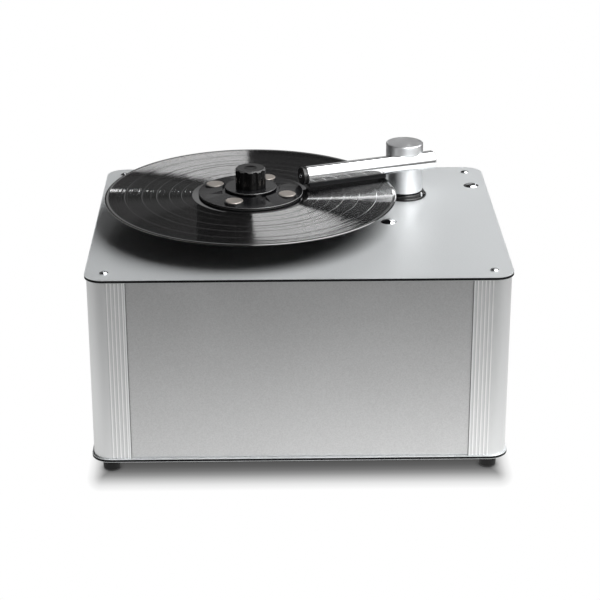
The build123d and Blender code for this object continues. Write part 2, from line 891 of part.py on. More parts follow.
def plug_screw():
    face = -tube_tip_reach - plug_standout
    head_height = plug_screw_head_radius / 2
    screw = cross_screw(plug_screw_head_radius, head_height, plug_screw_radius, plug_screw_length)
    return tube_frame * Pos(face, 0, 0) * Rot(0, -90, 0) * screw


def tube_end_cap():
    """The thin cap in the tube's tail."""
    outer = tube_tail_reach + tail_cap_thickness
    bore = tube_radius - tube_wall - thread_clearance
    cap = rod_x(tube_radius - plug_step, tube_tail_reach, outer)
    cap += rod_x(bore, tube_tail_reach - tail_cap_insert, tube_tail_reach)
    return tube_frame * chamfer(cap.edges().group_by(Axis.X)[-1], tail_cap_thickness / 3)


def arm_column():
    """The arm's column, with a channel for the tube and seats for the riser and the lift collar."""
    column = turned(
        [
            (0, column_bottom_z),
            (column_radius, column_bottom_z),
            (column_radius, column_top_z - column_chamfer),
            (column_radius - column_chamfer, column_top_z),
            (0, column_top_z),
        ],
        column_x,
        column_y,
    )
    column -= cyl(column_bore_radius, column_bottom_z - 1, riser_seat_z, column_x, column_y)
    column -= cyl(riser_radius + thread_clearance, riser_seat_z - 1, riser_top_z, column_x, column_y)
    column -= cyl(passage_radius, riser_top_z - 1, tube_z - tube_radius / 2, column_x, column_y)
    column -= tube_frame * rod_x(tube_radius + tube_seat_clearance, -tube_tip_reach, tube_tip_reach)
    mark_x = column_x + column_mark_offset[0]
    mark_y = column_y + column_mark_offset[1]
    mark_bottom = column_top_z - column_mark_depth
    return column - cyl(column_mark_radius, mark_bottom, column_top_z + 1, mark_x, mark_y)


def riser_tube():
    low = deck_z - riser_reach_below_deck
    tube = cyl(riser_radius, low, riser_top_z, column_x, column_y)
    return tube - cyl(riser_radius - riser_wall, low - 1, riser_top_z + 1, column_x, column_y)


def lift_collar():
    """The ring that the lift spring pushes up, under the column."""
    top = lift_collar_z + lift_collar_height
    ring = cyl(column_bore_radius - lift_collar_clearance, lift_collar_z, top, column_x, column_y)
    return ring - cyl(riser_radius + lift_collar_clearance, lift_collar_z - 1, top + 1, column_x, column_y)


def lift_spring():
    height = spring_space - 2 * spring_wire_radius
    path = Helix(height / spring_turns, height, spring_radius)
    start = Plane(path @ 0, z_dir=path % 0)
    coil = sweep(start * Circle(spring_wire_radius), path)
    return Pos(column_x, column_y, collar_top_z + spring_wire_radius) * coil


def arm_base_ring():
    """The stepped ring around the column's foot, with a threaded sleeve below the deck."""
    step_z = deck_z + base_ring_thickness
    low = deck_z - base_sleeve_length
    bore = guide_bush_radius + thread_clearance
    soft = 0.8
    return turned(
        [
            (bore, low),
            (base_sleeve_radius, low),
            (base_sleeve_radius, deck_z),
            (base_ring_radius, deck_z),
            (base_ring_radius, step_z - soft),
            (base_ring_radius - soft, step_z),
            (base_collar_radius, step_z),
            (base_collar_radius, collar_top_z - soft),
            (base_collar_radius - soft, collar_top_z),
            (bore, collar_top_z),
        ],
        column_x,
        column_y,
    )


def arm_guide_bush():
    low = deck_z - base_sleeve_length
    sleeve = cyl(guide_bush_radius, low, collar_top_z, column_x, column_y)
    return sleeve - cyl(riser_radius + shaft_clearance, low - 1, collar_top_z + 1, column_x, column_y)


# ---- Waste tank and drain ----
def tank_outline(inset):
    """The tank's plan outline, set in by a wall."""
    radius = tank_corner_radius - inset
    return Pos(tank_x, tank_y) * RectangleRounded(tank_width - 2 * inset, tank_depth - 2 * inset, radius)


def tank_lid():
    """The lid under the top plate, with a lug at each tank bolt and a rim inside the tank."""
    outline = tank_outline(0)
    for x, y in tank_bolt_places:
        side = 1 if y > tank_y else -1
        inner = tank_y + side * (tank_depth / 2 - tank_corner_radius)
        outline += Pos(x, y) * Circle(tank_lug_radius)
        outline += rect(x - tank_lug_radius, x + tank_lug_radius, min(y, inner), max(y, inner))
    lid = Pos(0, 0, lid_bottom_z) * extrude(outline, tank_lid_thickness)
    rim = tank_outline(tank_wall + tank_rim_clearance) - tank_outline(2 * tank_wall + tank_rim_clearance)
    lid += Pos(0, 0, lid_bottom_z - tank_rim_depth) * extrude(rim, tank_rim_depth)
    low = lid_bottom_z - tank_rim_depth - 1
    lid -= cyl(base_sleeve_radius + thread_clearance, low, top_plate_z + 1, column_x, column_y)
    for x, y in tank_bolt_places:
        lid -= cyl(tank_bolt_radius + hole_clearance, low, top_plate_z + 1, x, y)
    return lid


def waste_tank():
    """The open-topped tank, with a hose stub on its left wall and a drain stub at its rear."""
    tank = Pos(0, 0, tank_bottom_z) * extrude(tank_outline(0), tank_height)
    tank += rod_x(stub_radius, tank_left_x - tank_stub_length, tank_left_x + tank_wall, fan_y, hose_z)
    stub_start = tank_rear_y - tank_wall
    stub_end = tank_rear_y + port_stub_length
    tank += rod_y(drain_bore - thread_clearance, stub_start, stub_end, drain_x, drain_z)
    tank -= Pos(0, 0, tank_bottom_z + tank_wall) * extrude(tank_outline(tank_wall), tank_height)
    bore_start = tank_left_x - tank_stub_length - 1
    tank -= rod_x(stub_radius - hose_wall, bore_start, tank_left_x + tank_wall + 1, fan_y, hose_z)
    return tank - rod_y(port_bore_radius, stub_start - 1, stub_end + 1, drain_x, drain_z)


def tank_bolt():
    """A long bolt with a smooth domed head, through the top plate and the tank lid."""
    length = deck_z - lid_bottom_z + nut_height + nut_standout
    head = domed_head(tank_bolt_head_radius, 0.4, tank_bolt_head_height)
    return head + cyl(tank_bolt_radius, -length, 0)


def drain_pipe():
    end = cup_bottom_y - port_wall
    pipe = rod_y(drain_pipe_radius, tank_rear_y, end, drain_x, drain_z)
    return pipe - rod_y(drain_bore, tank_rear_y - 1, end + 1, drain_x, drain_z)


def drain_port():
    """The recessed cup in the rear panel, with a spigot inside it and a stub behind it."""
    back = cup_bottom_y - port_wall
    outer = port_cup_radius + port_wall
    port = rod_y(port_flange_radius, panel_face_y, panel_face_y + port_flange_thickness, drain_x, drain_z)
    port += rod_y(outer, back, panel_face_y + 0.5, drain_x, drain_z)
    port -= rod_y(port_cup_radius, cup_bottom_y, panel_face_y + port_flange_thickness + 1, drain_x, drain_z)
    port += rod_y(drain_pipe_radius, back, cup_bottom_y + port_spigot_length, drain_x, drain_z)
    port += rod_y(drain_bore - thread_clearance, back - port_stub_length, back + 0.5, drain_x, drain_z)
    hole_end = cup_bottom_y + port_spigot_length + 1
    return port - rod_y(port_bore_radius, back - port_stub_length - 1, hole_end, drain_x, drain_z)


def drain_plug():
    """A ribbed push-on cap over the spigot, with a stem in its bore."""
    low = cup_bottom_y + drain_plug_gap
    high = low + plug_cap_length
    plug = rod_y(plug_cap_radius, low, high, drain_x, drain_z)
    for i in range(plug_grip_count):
        angle = 2 * pi * i / plug_grip_count
        x = drain_x + plug_cap_radius * cos(angle)
        z = drain_z + plug_cap_radius * sin(angle)
        plug += rod_y(plug_grip_radius, low, high, x, z)
    recess_end = cup_bottom_y + port_spigot_length + drain_plug_gap
    plug -= rod_y(drain_pipe_radius + drain_plug_gap, low - 1, recess_end, drain_x, drain_z)
    stem_start = recess_end - plug_stem_length
    return plug + rod_y(port_bore_radius - drain_plug_gap, stem_start, recess_end + 0.5, drain_x, drain_z)


# ---- Vacuum unit ----
def mount_ring():
    ring = cyl(vacuum_motor_radius, post_z, motor_foot_z, fan_x, fan_y)
    return ring - cyl(vacuum_motor_radius - mount_ring_width, post_z - 1, motor_foot_z + 1, fan_x, fan_y)


def vacuum_motor():
    motor = cyl(vacuum_motor_radius, motor_foot_z, motor_top_z, fan_x, fan_y)
    motor += cyl(fan_radius, motor_top_z - vacuum_motor_flange, motor_top_z, fan_x, fan_y)
    bore_bottom = motor_top_z - impeller_shaft_reach - 1
    return motor - cyl(impeller_shaft_radius + shaft_clearance, bore_bottom, motor_top_z + 1, fan_x, fan_y)


def fan_housing():
    """The fan's cover on the motor's flange, with an inlet collar and outlet windows."""
    housing = cyl(fan_radius, motor_top_z, fan_top_z)
    housing += cyl(stub_radius, fan_top_z, fan_top_z + inlet_collar_height)
    housing -= cyl(fan_radius - fan_wall, motor_top_z - 1, fan_top_z - fan_wall)
    housing -= cyl(stub_radius - hose_wall, motor_top_z, fan_top_z + inlet_collar_height + 1)
    window_z = motor_top_z + fan_height / 2
    half_width_y = fan_window_width / 2
    half_rise = fan_window_height / 2
    for i in range(fan_window_count):
        window = block(
            fan_radius - 2 * fan_wall, fan_radius + 1, -half_width_y, half_width_y,
            window_z - half_rise, window_z + half_rise,
        )
        housing -= Rot(0, 0, 360 * i / fan_window_count) * window
    return Pos(fan_x, fan_y, 0) * housing


def fan_impeller():
    """The bladed wheel and its shaft, which turns inside the vacuum motor."""
    plate_z = motor_top_z + impeller_gap
    blade_z = plate_z + impeller_plate
    wheel = cyl(impeller_radius, plate_z, blade_z)
    wheel += cyl(impeller_hub_radius, plate_z, blade_z + impeller_blade_height)
    wheel += cyl(impeller_shaft_radius, motor_top_z - impeller_shaft_reach, plate_z + 0.5)
    half = impeller_blade_thickness / 2
    blade_top = blade_z + impeller_blade_height
    blade = block(impeller_hub_radius - 1, impeller_radius - 1, -half, half, blade_z - 0.5, blade_top)
    for i in range(impeller_blade_count):
        wheel += Rot(0, 0, 360 * i / impeller_blade_count) * blade
    return Pos(fan_x, fan_y, 0) * wheel


def suction_hose():
    """The hose from the tank's stub, over to the fan and down onto its collar."""
    corner = (fan_x, fan_y, hose_z)
    first = (tank_left_x, fan_y, hose_z)
    path = FilletPolyline(first, corner, (fan_x, fan_y, fan_top_z), radius=hose_bend_radius)
    ring = Circle(hose_radius) - Circle(hose_radius - hose_wall)
    return sweep(Plane(first, z_dir=(-1, 0, 0)) * ring, path)


# ---- Electrical fittings ----
rocker_corner = hypot(rocker_half_length, rocker_neutral_rise + rocker_pivot_depth)
switch_cavity_half_length = rocker_corner + rocker_clearance
switch_cavity_half_width = rocker_half_width + rocker_clearance


def switch_frame(y):
    """A switch's own frame: X out of the right panel, with the origin on the panel's face."""
    return Location((panel_face_x, y, switch_height))


def switch_box(back, front, border):
    """A box around the rocker's cavity, in the switch's own frame, wider by a border."""
    width = switch_cavity_half_width + border
    length = switch_cavity_half_length + border
    return block(back, front, -width, width, -length, length)


def switch_body(y):
    """A snap-in switch body with a bezel and a pivot hole in each cheek."""
    edge = rocker_wall + rocker_bezel_border
    body = switch_box(-rocker_body_depth, rocker_bezel_thickness, rocker_wall)
    body += switch_box(0, rocker_bezel_thickness, edge)
    cavity_depth = rocker_pivot_depth + rocker_corner
    body -= switch_box(-cavity_depth, rocker_bezel_thickness + 1, 0)
    reach = switch_cavity_half_width + rocker_pin_length
    pins = rod_y(rocker_pin_radius + shaft_clearance, -reach, reach, -rocker_pivot_depth, 0)
    return switch_frame(y) * (body - pins)


def rocker(y, tilt):
    """A rocker with a shallow dip across its face, turned about its pivot by a tilt in degrees."""
    rise = rocker_neutral_rise + rocker_pivot_depth
    length = rocker_half_length
    half = [(rise, length), (rise / 6, length - 0.4), (-1.2 * rise, length / 3)]
    outline = [(rise - rocker_dip, 0)] + half + [(x, -z) for x, z in reversed(half)]
    face = make_face(Polyline(*[(x, 0, z) for x, z in outline], close=True))
    body = extrude(face, rocker_half_width, dir=(0, 1, 0), both=True)
    reach = rocker_half_width + rocker_clearance + rocker_pin_length - shaft_clearance
    body += rod_y(rocker_pin_radius, -reach, reach)
    return switch_frame(y) * Pos(-rocker_pivot_depth, 0, 0) * Rot(0, tilt, 0) * body


def power_inlet():
    """A mains inlet with three blades in its socket and a pocket for the fuse drawer."""
    front = panel_face_y + inlet_flange_thickness
    half_x = inlet_flange_width / 2
    half_z = inlet_flange_height / 2
    inlet = block(-half_x, half_x, panel_face_y, front, -half_z, half_z)
    half_x -= inlet_body_margin
    back = panel_face_y - inlet_body_depth
    inlet += block(-half_x, half_x, back, panel_face_y + 0.5, -inlet_body_half_z, inlet_body_half_z)
    bottom = front - inlet_socket_depth
    socket = block(
        -inlet_socket_width / 2, inlet_socket_width / 2, bottom, front + 1,
        -inlet_socket_height / 2, inlet_socket_height / 2,
    )
    top_corners = socket.edges().filter_by(Axis.Y).group_by(Axis.Z)[-1]
    socket = chamfer(top_corners, inlet_socket_height / 4)
    inlet -= Pos(0, 0, -inlet_socket_drop) * socket
    for i in (-1, 0, 1):
        z = -inlet_socket_drop + (1.5 if i == 0 else -1.5)
        blade = block(
            -inlet_pin_thickness / 2, inlet_pin_thickness / 2, bottom - 0.5, front - inlet_pin_height / 2,
            -inlet_pin_width / 2, inlet_pin_width / 2,
        )
        inlet += Pos(i * inlet_pin_pitch, 0, z) * blade
    half_x = fuse_width / 2 + fuse_clearance
    half_z = fuse_height / 2 + fuse_clearance
    pocket_end = front - fuse_depth - fuse_clearance
    inlet -= Pos(0, 0, fuse_rise) * block(-half_x, half_x, pocket_end, front + 1, -half_z, half_z)
    return Pos(inlet_x, 0, inlet_height) * inlet


def fuse_drawer():
    """A drawer that holds the fuse, open at its top, with a finger edge at its face."""
    front = panel_face_y + inlet_flange_thickness
    half_x = fuse_width / 2
    half_z = fuse_height / 2
    drawer = block(-half_x, half_x, front - fuse_depth, front, -half_z, half_z)
    drawer += block(-half_x / 2, half_x / 2, front - 0.5, front + 0.7, half_z / 4, half_z)
    inner_x = half_x - fuse_drawer_wall
    back = front - fuse_depth + fuse_drawer_wall
    face = front - 2 * fuse_drawer_wall
    drawer -= block(-inner_x, inner_x, back, face, fuse_drawer_wall - half_z, half_z + 1)
    return Pos(inlet_x, 0, inlet_height + fuse_rise) * drawer


def circuit_board():
    """The control board with its transformer, capacitors and terminals, on four posts."""
    board_z = post_z + board_standoff
    top = board_z + board_thickness
    half_x = board_width / 2
    half_y = board_depth / 2
    board = block(-half_x, half_x, -half_y, half_y, board_z, top)
    length, depth, height = transformer_size
    left = transformer_inset - half_x
    front = transformer_inset - half_y
    board += block(left, left + length, front, front + depth, top - 0.5, top + height)
    for i in (0, 1):
        x = i * 2.3 * capacitor_radius
        board += cyl(capacitor_radius, top - 0.5, top + capacitor_height, x, half_y / 3)
    length, depth, height = terminal_size
    right = half_x - terminal_inset
    board += block(right - length, right, -depth / 2, depth / 2, top - 0.5, top + height)
    solids = [board]
    for sx in (-1, 1):
        for sy in (-1, 1):
            x = sx * (half_x - board_post_inset)
            y = sy * (half_y - board_post_inset)
            solids.append(cyl(board_post_radius, post_z, board_z, x, y))
    return Pos(board_x, board_y, 0) * group(solids)


# ---- Every node, and its file ----
def all_nodes():
    corner_holes = [(x, y, small_screw_radius + hole_clearance) for x, y in corner_places]
    deck_holes = corner_holes + [
        (spindle_x, spindle_y, bearing_boss_radius + hole_clearance),
        (column_x, column_y, base_sleeve_radius + hole_clearance),
    ]
    deck_holes += [(x, y, tank_bolt_radius + hole_clearance) for x, y in bearing_places]
    deck_holes += [(x, y, tank_bolt_radius + hole_clearance) for x, y in tank_bolt_places]
    top_skins, top_core = plate(top_plate_z, deck_holes)
    bottom_skins, bottom_core = plate(foot_height, corner_holes)
    plate_screw = cross_screw(small_head_radius, small_head_height, small_screw_radius, small_screw_length)
    nut_seats = [(x, y, bracket_bottom_z - nut_height) for x, y in bearing_places]
    nut_seats += [(x, y, lid_bottom_z - nut_height) for x, y in tank_bolt_places]
    nut_seats += [(x, y, bracket_bottom_z + bracket_thickness) for x, y in stud_places]
    return {
        "top_plate_skins": top_skins,
        "top_plate_core": top_core,
        "bottom_plate_skins": bottom_skins,
        "bottom_plate_core": bottom_core,
        "corner_post_front_left": placed_post(False, False),
        "corner_post_front_right": placed_post(True, False),
        "corner_post_rear_left": placed_post(False, True),
        "corner_post_rear_right": placed_post(True, True),
        "front_panel": front_panel(),
        "rear_panel": rear_panel(),
        "left_panel": left_panel(),
        "right_panel": right_panel(),
        "plate_screws": group([Pos(x, y, deck_z) * plate_screw for x, y in corner_places]),
        "feet": group([Pos(x, y, 0) * foot() for x, y in corner_places]),
        "foot_screws": group([Pos(x, y, 0) * foot_screw() for x, y in corner_places]),
        "tank_bolts": group([Pos(x, y, deck_z) * tank_bolt() for x, y in tank_bolt_places]),
        "bearing_screws": group([Pos(x, y, deck_z) * bearing_screw() for x, y in bearing_places]),
        "lock_nuts": group([Pos(x, y, z) * lock_nut() for x, y, z in nut_seats]),
        "bearing_housing": bearing_housing(),
        "bearing_bushes": group([bush(deck_z + bearing_boss_height, True), bush(sleeve_bottom_z, False)]),
        "spindle": spindle(),
        "platter_disc": platter_disc(),
        "platter_pad": platter_pad(),
        "record": record(),
        "spindle_gear": spindle_gear(),
        "motor_pinion": motor_pinion(),
        "gearmotor": gearmotor(),
        "motor_bracket": motor_bracket(),
        "clamp_disc": clamp_disc(),
        "clamp_weights": clamp_weights(),
        "clamp_pad": clamp_pad(),
        "clamp_knob": clamp_knob(),
        "suction_tube": suction_tube(),
        "velvet_strips": velvet_strips(),
        "tube_end_plug": tube_end_plug(),
        "plug_screw": plug_screw(),
        "tube_end_cap": tube_end_cap(),
        "arm_column": arm_column(),
        "riser_tube": riser_tube(),
        "lift_collar": lift_collar(),
        "lift_spring": lift_spring(),
        "arm_base_ring": arm_base_ring(),
        "arm_guide_bush": arm_guide_bush(),
        "tank_lid": tank_lid(),
        "waste_tank": waste_tank(),
        "drain_pipe": drain_pipe(),
        "drain_port": drain_port(),
        "drain_plug": drain_plug(),
        "mount_ring": mount_ring(),
        "vacuum_motor": vacuum_motor(),
        "fan_housing": fan_housing(),
        "fan_impeller": fan_impeller(),
        "suction_hose": suction_hose(),
        "switch_bodies": group([switch_body(y) for y in switch_places]),
        "vacuum_rocker": rocker(switch_places[0], vacuum_rocker_tilt),
        "rotation_rocker": rocker(switch_places[1], 0),
        "power_inlet": power_inlet(),
        "fuse_drawer": fuse_drawer(),
        "circuit_board": circuit_board(),
    }


os.makedirs("parts", exist_ok=True)
for node_name, shape in all_nodes().items():
    export_step(shape, f"parts/{node_name}.step")
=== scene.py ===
# %% [markdown]
# # A record cleaning machine
# The machine is a box of ribbed corner posts and plain metal panels between two composite plates.
# A record turns on its deck under a screwed-on clamp, and a chromed suction arm swings over it.
# The solid model already has every size and every moving body. This lesson dresses it: the pieces
# whose form needs more than the solid has are modelled again, and every surface gets a finish.

# %% Load the solid model
import json
import math
import bpy
from mathutils import Matrix, Vector


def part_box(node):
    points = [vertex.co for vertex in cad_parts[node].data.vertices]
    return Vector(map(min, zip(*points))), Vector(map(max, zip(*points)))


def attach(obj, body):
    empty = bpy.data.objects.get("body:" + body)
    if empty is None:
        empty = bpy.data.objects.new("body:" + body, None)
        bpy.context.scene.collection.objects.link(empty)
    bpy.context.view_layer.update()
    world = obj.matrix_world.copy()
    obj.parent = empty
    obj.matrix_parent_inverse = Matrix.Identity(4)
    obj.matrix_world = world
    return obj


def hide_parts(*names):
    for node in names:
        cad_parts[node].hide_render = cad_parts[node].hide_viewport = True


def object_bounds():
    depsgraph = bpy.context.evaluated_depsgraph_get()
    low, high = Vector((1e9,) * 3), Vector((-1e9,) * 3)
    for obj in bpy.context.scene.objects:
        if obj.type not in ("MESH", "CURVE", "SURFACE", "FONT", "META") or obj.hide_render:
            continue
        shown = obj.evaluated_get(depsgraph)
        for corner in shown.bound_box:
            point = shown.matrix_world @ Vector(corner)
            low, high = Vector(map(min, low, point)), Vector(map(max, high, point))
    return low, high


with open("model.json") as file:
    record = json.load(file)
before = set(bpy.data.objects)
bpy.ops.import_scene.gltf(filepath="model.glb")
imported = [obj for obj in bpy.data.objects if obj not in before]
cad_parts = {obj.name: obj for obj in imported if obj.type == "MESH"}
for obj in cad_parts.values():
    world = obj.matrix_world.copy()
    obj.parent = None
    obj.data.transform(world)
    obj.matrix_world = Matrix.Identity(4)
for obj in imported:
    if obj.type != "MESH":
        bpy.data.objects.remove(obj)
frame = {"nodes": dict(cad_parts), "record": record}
cad_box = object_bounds()
nodes = frame["nodes"]
body_of = {
    node: body
    for body, members in frame["record"]["behaviour"]["bodies"].items()
    for node in members
}
slot_of = {part["node"]: part["material_slot"] for part in frame["record"]["subparts"]}

# %% [markdown]
# The real machine is measured in millimetres and Blender works in metres. The places that the new
# pieces need are read from the solid model's own boxes, so a new piece always sits where its
# solid is.

# %% Places and sizes taken from the solids
MM = 0.001
UP = (0, 0, 1)


def middle(node):
    """The middle of a node's box."""
    low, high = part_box(node)
    return (low + high) / 2


spindle = middle("record")
record_low, record_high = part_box("record")
record_radius = (record_high.x - record_low.x) / 2
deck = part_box("top_plate_skins")[1].z
column = middle("arm_column")

# %% [markdown]
# ## The camera
# The camera stands 1.9 m in front and looks 22 degrees down. A long lens keeps the box nearly
# square. Its axes are worked out from three small angles and written into its matrix, which
# avoids any question of the order of turns.

# %% Camera
CAMERA_PLACE = Vector((-0.0276, -1.8615, 0.8835))
PITCH, YAW, ROLL = (math.radians(angle) for angle in (22.32, 0.94, 0.13))
SENSOR_WIDTH = 36.0
LENS_LENGTH = 113.892
SIGHT = 50.0
forward = Vector((
    math.sin(YAW) * math.cos(PITCH),
    math.cos(YAW) * math.cos(PITCH),
    -math.sin(PITCH),
))
right = forward.cross(Vector(UP)).normalized()
down = forward.cross(right)
camera_x = math.cos(ROLL) * right + math.sin(ROLL) * down
camera_y = math.sin(ROLL) * right - math.cos(ROLL) * down
lens = bpy.data.cameras.new("camera")
lens.sensor_width = SENSOR_WIDTH
lens.lens = LENS_LENGTH
lens.clip_end = SIGHT
camera = bpy.data.objects.new("camera", lens)
camera_axes = Matrix((camera_x, camera_y, -forward)).transposed().to_4x4()
camera.matrix_world = Matrix.Translation(CAMERA_PLACE) @ camera_axes
bpy.context.scene.collection.objects.link(camera)
bpy.context.scene.camera = camera
print("camera at", tuple(round(place, 3) for place in CAMERA_PLACE))

# %% [markdown]
# ## Shader maths written as expressions
# A finish needs many small sums between nodes. A wire stands for one output of a node, and
# Python's own operators on it add the Math nodes. A number on the left works too, such as 1 -
# mask.

# %% A wire between nodes


class Wire:
    """One output socket. Arithmetic on it adds Math nodes to its finish."""

    def __init__(self, finish, socket):
        self.finish = finish
        self.socket = socket

    def output(self, name):
        return Wire(self.finish, self.socket.node.outputs[name])

    def __add__(self, other):
        return self.finish.maths("ADD", self, other)

    def __radd__(self, other):
        return self.finish.maths("ADD", other, self)

    def __sub__(self, other):
        return self.finish.maths("SUBTRACT", self, other)

    def __rsub__(self, other):
        return self.finish.maths("SUBTRACT", other, self)

    def __mul__(self, other):
        return self.finish.maths("MULTIPLY", self, other)

    def __rmul__(self, other):
        return self.finish.maths("MULTIPLY", other, self)

    def __truediv__(self, other):
        return self.finish.maths("DIVIDE", self, other)

    def __gt__(self, other):
        return self.finish.maths("GREATER_THAN", self, other)

    def __lt__(self, other):
        return self.finish.maths("LESS_THAN", self, other)


print("a wire has the operators + - * / > <")

# %% [markdown]
# A finish is one node tree. Its single node method takes the node's type, its settings and what
# goes into its sockets, so every node in this file is made the same way. The short methods below
# it name the sums, patterns and shaders that the finishes use again and again.

# %% A finish and its nodes
FACES_DOWN = -0.5


class Finish:
    """A node tree, with one method that adds any node to it."""

    def __init__(self, tree):
        self.tree = tree
        tree.nodes.clear()

    def node(self, kind, settings, inputs, output=0):
        made = self.tree.nodes.new(kind)
        for name, value in settings.items():
            if name == "stops":
                ramp = made.color_ramp
                while len(ramp.elements) < len(value):
                    ramp.elements.new(0.5)
                for element, (position, colour) in zip(ramp.elements, value):
                    element.position = position
                    element.color = (*colour, 1)
            else:
                setattr(made, name, value)
        for key, value in inputs.items():
            if isinstance(value, Wire):
                self.tree.links.new(value.socket, made.inputs[key])
            elif isinstance(value, tuple) and len(value) == 3 and made.inputs[key].type == "RGBA":
                made.inputs[key].default_value = (*value, 1)
            else:
                made.inputs[key].default_value = value
        return Wire(self, made.outputs[output]) if made.outputs else made

    def maths(self, operation, *values):
        return self.node("ShaderNodeMath", {"operation": operation}, dict(enumerate(values)))

    def absolute(self, value):
        """The value without its sign."""
        return self.maths("ABSOLUTE", value)

    def vectors(self, operation, *values):
        output = "Value" if operation in ("LENGTH", "DOT_PRODUCT") else "Vector"
        settings = {"operation": operation}
        return self.node("ShaderNodeVectorMath", settings, dict(enumerate(values)), output)

    def scaled(self, vector, amount):
        settings = {"operation": "SCALE"}
        return self.node("ShaderNodeVectorMath", settings, {0: vector, "Scale": amount}, "Vector")

    def split(self, vector):
        return self.node("ShaderNodeSeparateXYZ", {}, {0: vector})

    def join(self, x, y, z):
        return self.node("ShaderNodeCombineXYZ", {}, {0: x, 1: y, 2: z})

    def place(self):
        return self.node("ShaderNodeTexCoord", {}, {}, "Object")

    def normal(self):
        """The way the surface faces."""
        return self.node("ShaderNodeNewGeometry", {}, {}, "Normal")

    def upward(self):
        """1 on a surface that faces up, 0 on an upright one and -1 on one that faces down."""
        return self.split(self.normal()).output("Z")

    def noise(self, vector, scale, detail=3.0, roughness=0.5):
        inputs = {"Vector": vector, "Scale": scale, "Detail": detail, "Roughness": roughness}
        return self.node("ShaderNodeTexNoise", {}, inputs)

    def level(self, value, low, high, new_low=0.0, new_high=1.0, smooth=False):
        """The value's range from low to high, mapped to a new range and held at its ends."""
        settings = {"interpolation_type": "SMOOTHSTEP" if smooth else "LINEAR"}
        inputs = {0: value, 1: low, 2: high, 3: new_low, 4: new_high}
        return self.node("ShaderNodeMapRange", settings, inputs)

    def falling(self, value, low, high, smooth=False):
        """1 up to low, falling to 0 at high."""
        return self.level(value, low, high, 1.0, 0.0, smooth)

    def colours(self, factor, first, second, blend="MIX"):
        settings = {"data_type": "RGBA", "blend_type": blend, "clamp_factor": True}
        return self.node("ShaderNodeMix", settings, {0: factor, 6: first, 7: second}, 2)

    def bump(self, height, distance):
        return self.node("ShaderNodeBump", {}, {"Height": height, "Distance": distance})

    def mixed(self, factor, first, second):
        return self.node("ShaderNodeMixShader", {}, {0: factor, 1: first, 2: second})

    def principled(self, **sockets):
        """The Principled shader, with its sockets' names written with underscores."""
        inputs = {name.replace("_", " "): value for name, value in sockets.items()}
        return self.node("ShaderNodeBsdfPrincipled", {}, inputs)

    def surface(self, below=None, **sockets):
        """The finish's own look, and another shader on the faces that look down if one is given."""
        shader = self.principled(**sockets)
        if below:
            shader = self.mixed(self.upward() < FACES_DOWN, shader, below)
        self.node("ShaderNodeOutputMaterial", {}, {"Surface": shader})


finishes = {}


def new_finish(slot):
    """A new material, kept under its slot's name, and the finish that fills it."""
    material = bpy.data.materials.new(slot)
    material.use_nodes = True
    finishes[slot] = material
    return Finish(material.node_tree)


print("each finish is one node tree")

# %% [markdown]
# ## The studio
# The light is one world, written as a function of direction, so the machine is lit the same way
# from wherever it is seen. Only what the camera sees directly is plain white. An edge in this sky
# is a pair of numbers: where it starts and where it has ended, along one axis of the direction.

# %% The sky's tools
world = bpy.data.worlds.new("studio")
bpy.context.scene.world = world
world.use_nodes = True
sky = Finish(world.node_tree)
direction = sky.node("ShaderNodeTexCoord", {}, {}, "Generated")
towards = sky.split(direction)
dx, dy, dz = (towards.output(axis) for axis in "XYZ")


def lobe(axis, inner, outer):
    """A round patch of the sky: 1 inside the inner angle, fading to 0 at the outer angle."""
    nearness = sky.vectors("DOT_PRODUCT", direction, tuple(Vector(axis).normalized()))
    cosines = (math.cos(math.radians(angle)) for angle in (outer, inner))
    return sky.level(nearness, *cosines, smooth=True)


print("sky ready, x to the right and y to the back")

# %% [markdown]
# Glossy surfaces see a softbox over the right half. Its left edge is sharp and its back edge
# slants, and those two edges are the straight sides of the wedges of light on the record. It is
# hotter in its middle and at the front, where it shows again in the chromed tube.

# %% Softbox
SOFTBOX = 1.35
HOT_MIDDLE = 2.4
HOT_MIDDLE_AXIS = (0.26, 0.42, 0.87)
HOT_MIDDLE_ANGLES = (26, 36)
HOT_FRONT = 5.5
LEFT_EDGE = (0.0, 0.022)
BACK_START = 0.44
BACK_SLANT = 1.33
BACK_BLUR = 0.03
LOW_EDGE = (0.15, 0.17)
FRONT_DEPTH = (-0.25, 0.0)
FRONT_RIGHT = (0.08, 0.3)
FRONT_HEIGHT = (0.3, 0.5)
right_side = sky.level(dx, *LEFT_EDGE, smooth=True)
back_slope = sky.maths("MINIMUM", BACK_START + BACK_SLANT * dx, 1.0)
before_back_edge = sky.falling(dy - back_slope * dz, -BACK_BLUR, BACK_BLUR)
above_low_edge = sky.level(dz, *LOW_EDGE)
at_front = sky.falling(dy, *FRONT_DEPTH) * sky.level(dx, *FRONT_RIGHT, smooth=True)
hot_front = at_front * sky.level(dz, *FRONT_HEIGHT)
hot_middle = lobe(HOT_MIDDLE_AXIS, *HOT_MIDDLE_ANGLES)
hotter = HOT_MIDDLE * hot_middle + HOT_FRONT * hot_front
softbox = right_side * before_back_edge * above_low_edge * (SOFTBOX + hotter)
print("softbox", SOFTBOX, "to", SOFTBOX + HOT_FRONT)

# %% [markdown]
# Behind the machine stands a grey wall, lighter in its middle, and it keeps the dark parts of the
# record from going black. A tiny strong patch beside it makes the thin streak at the record's
# left.

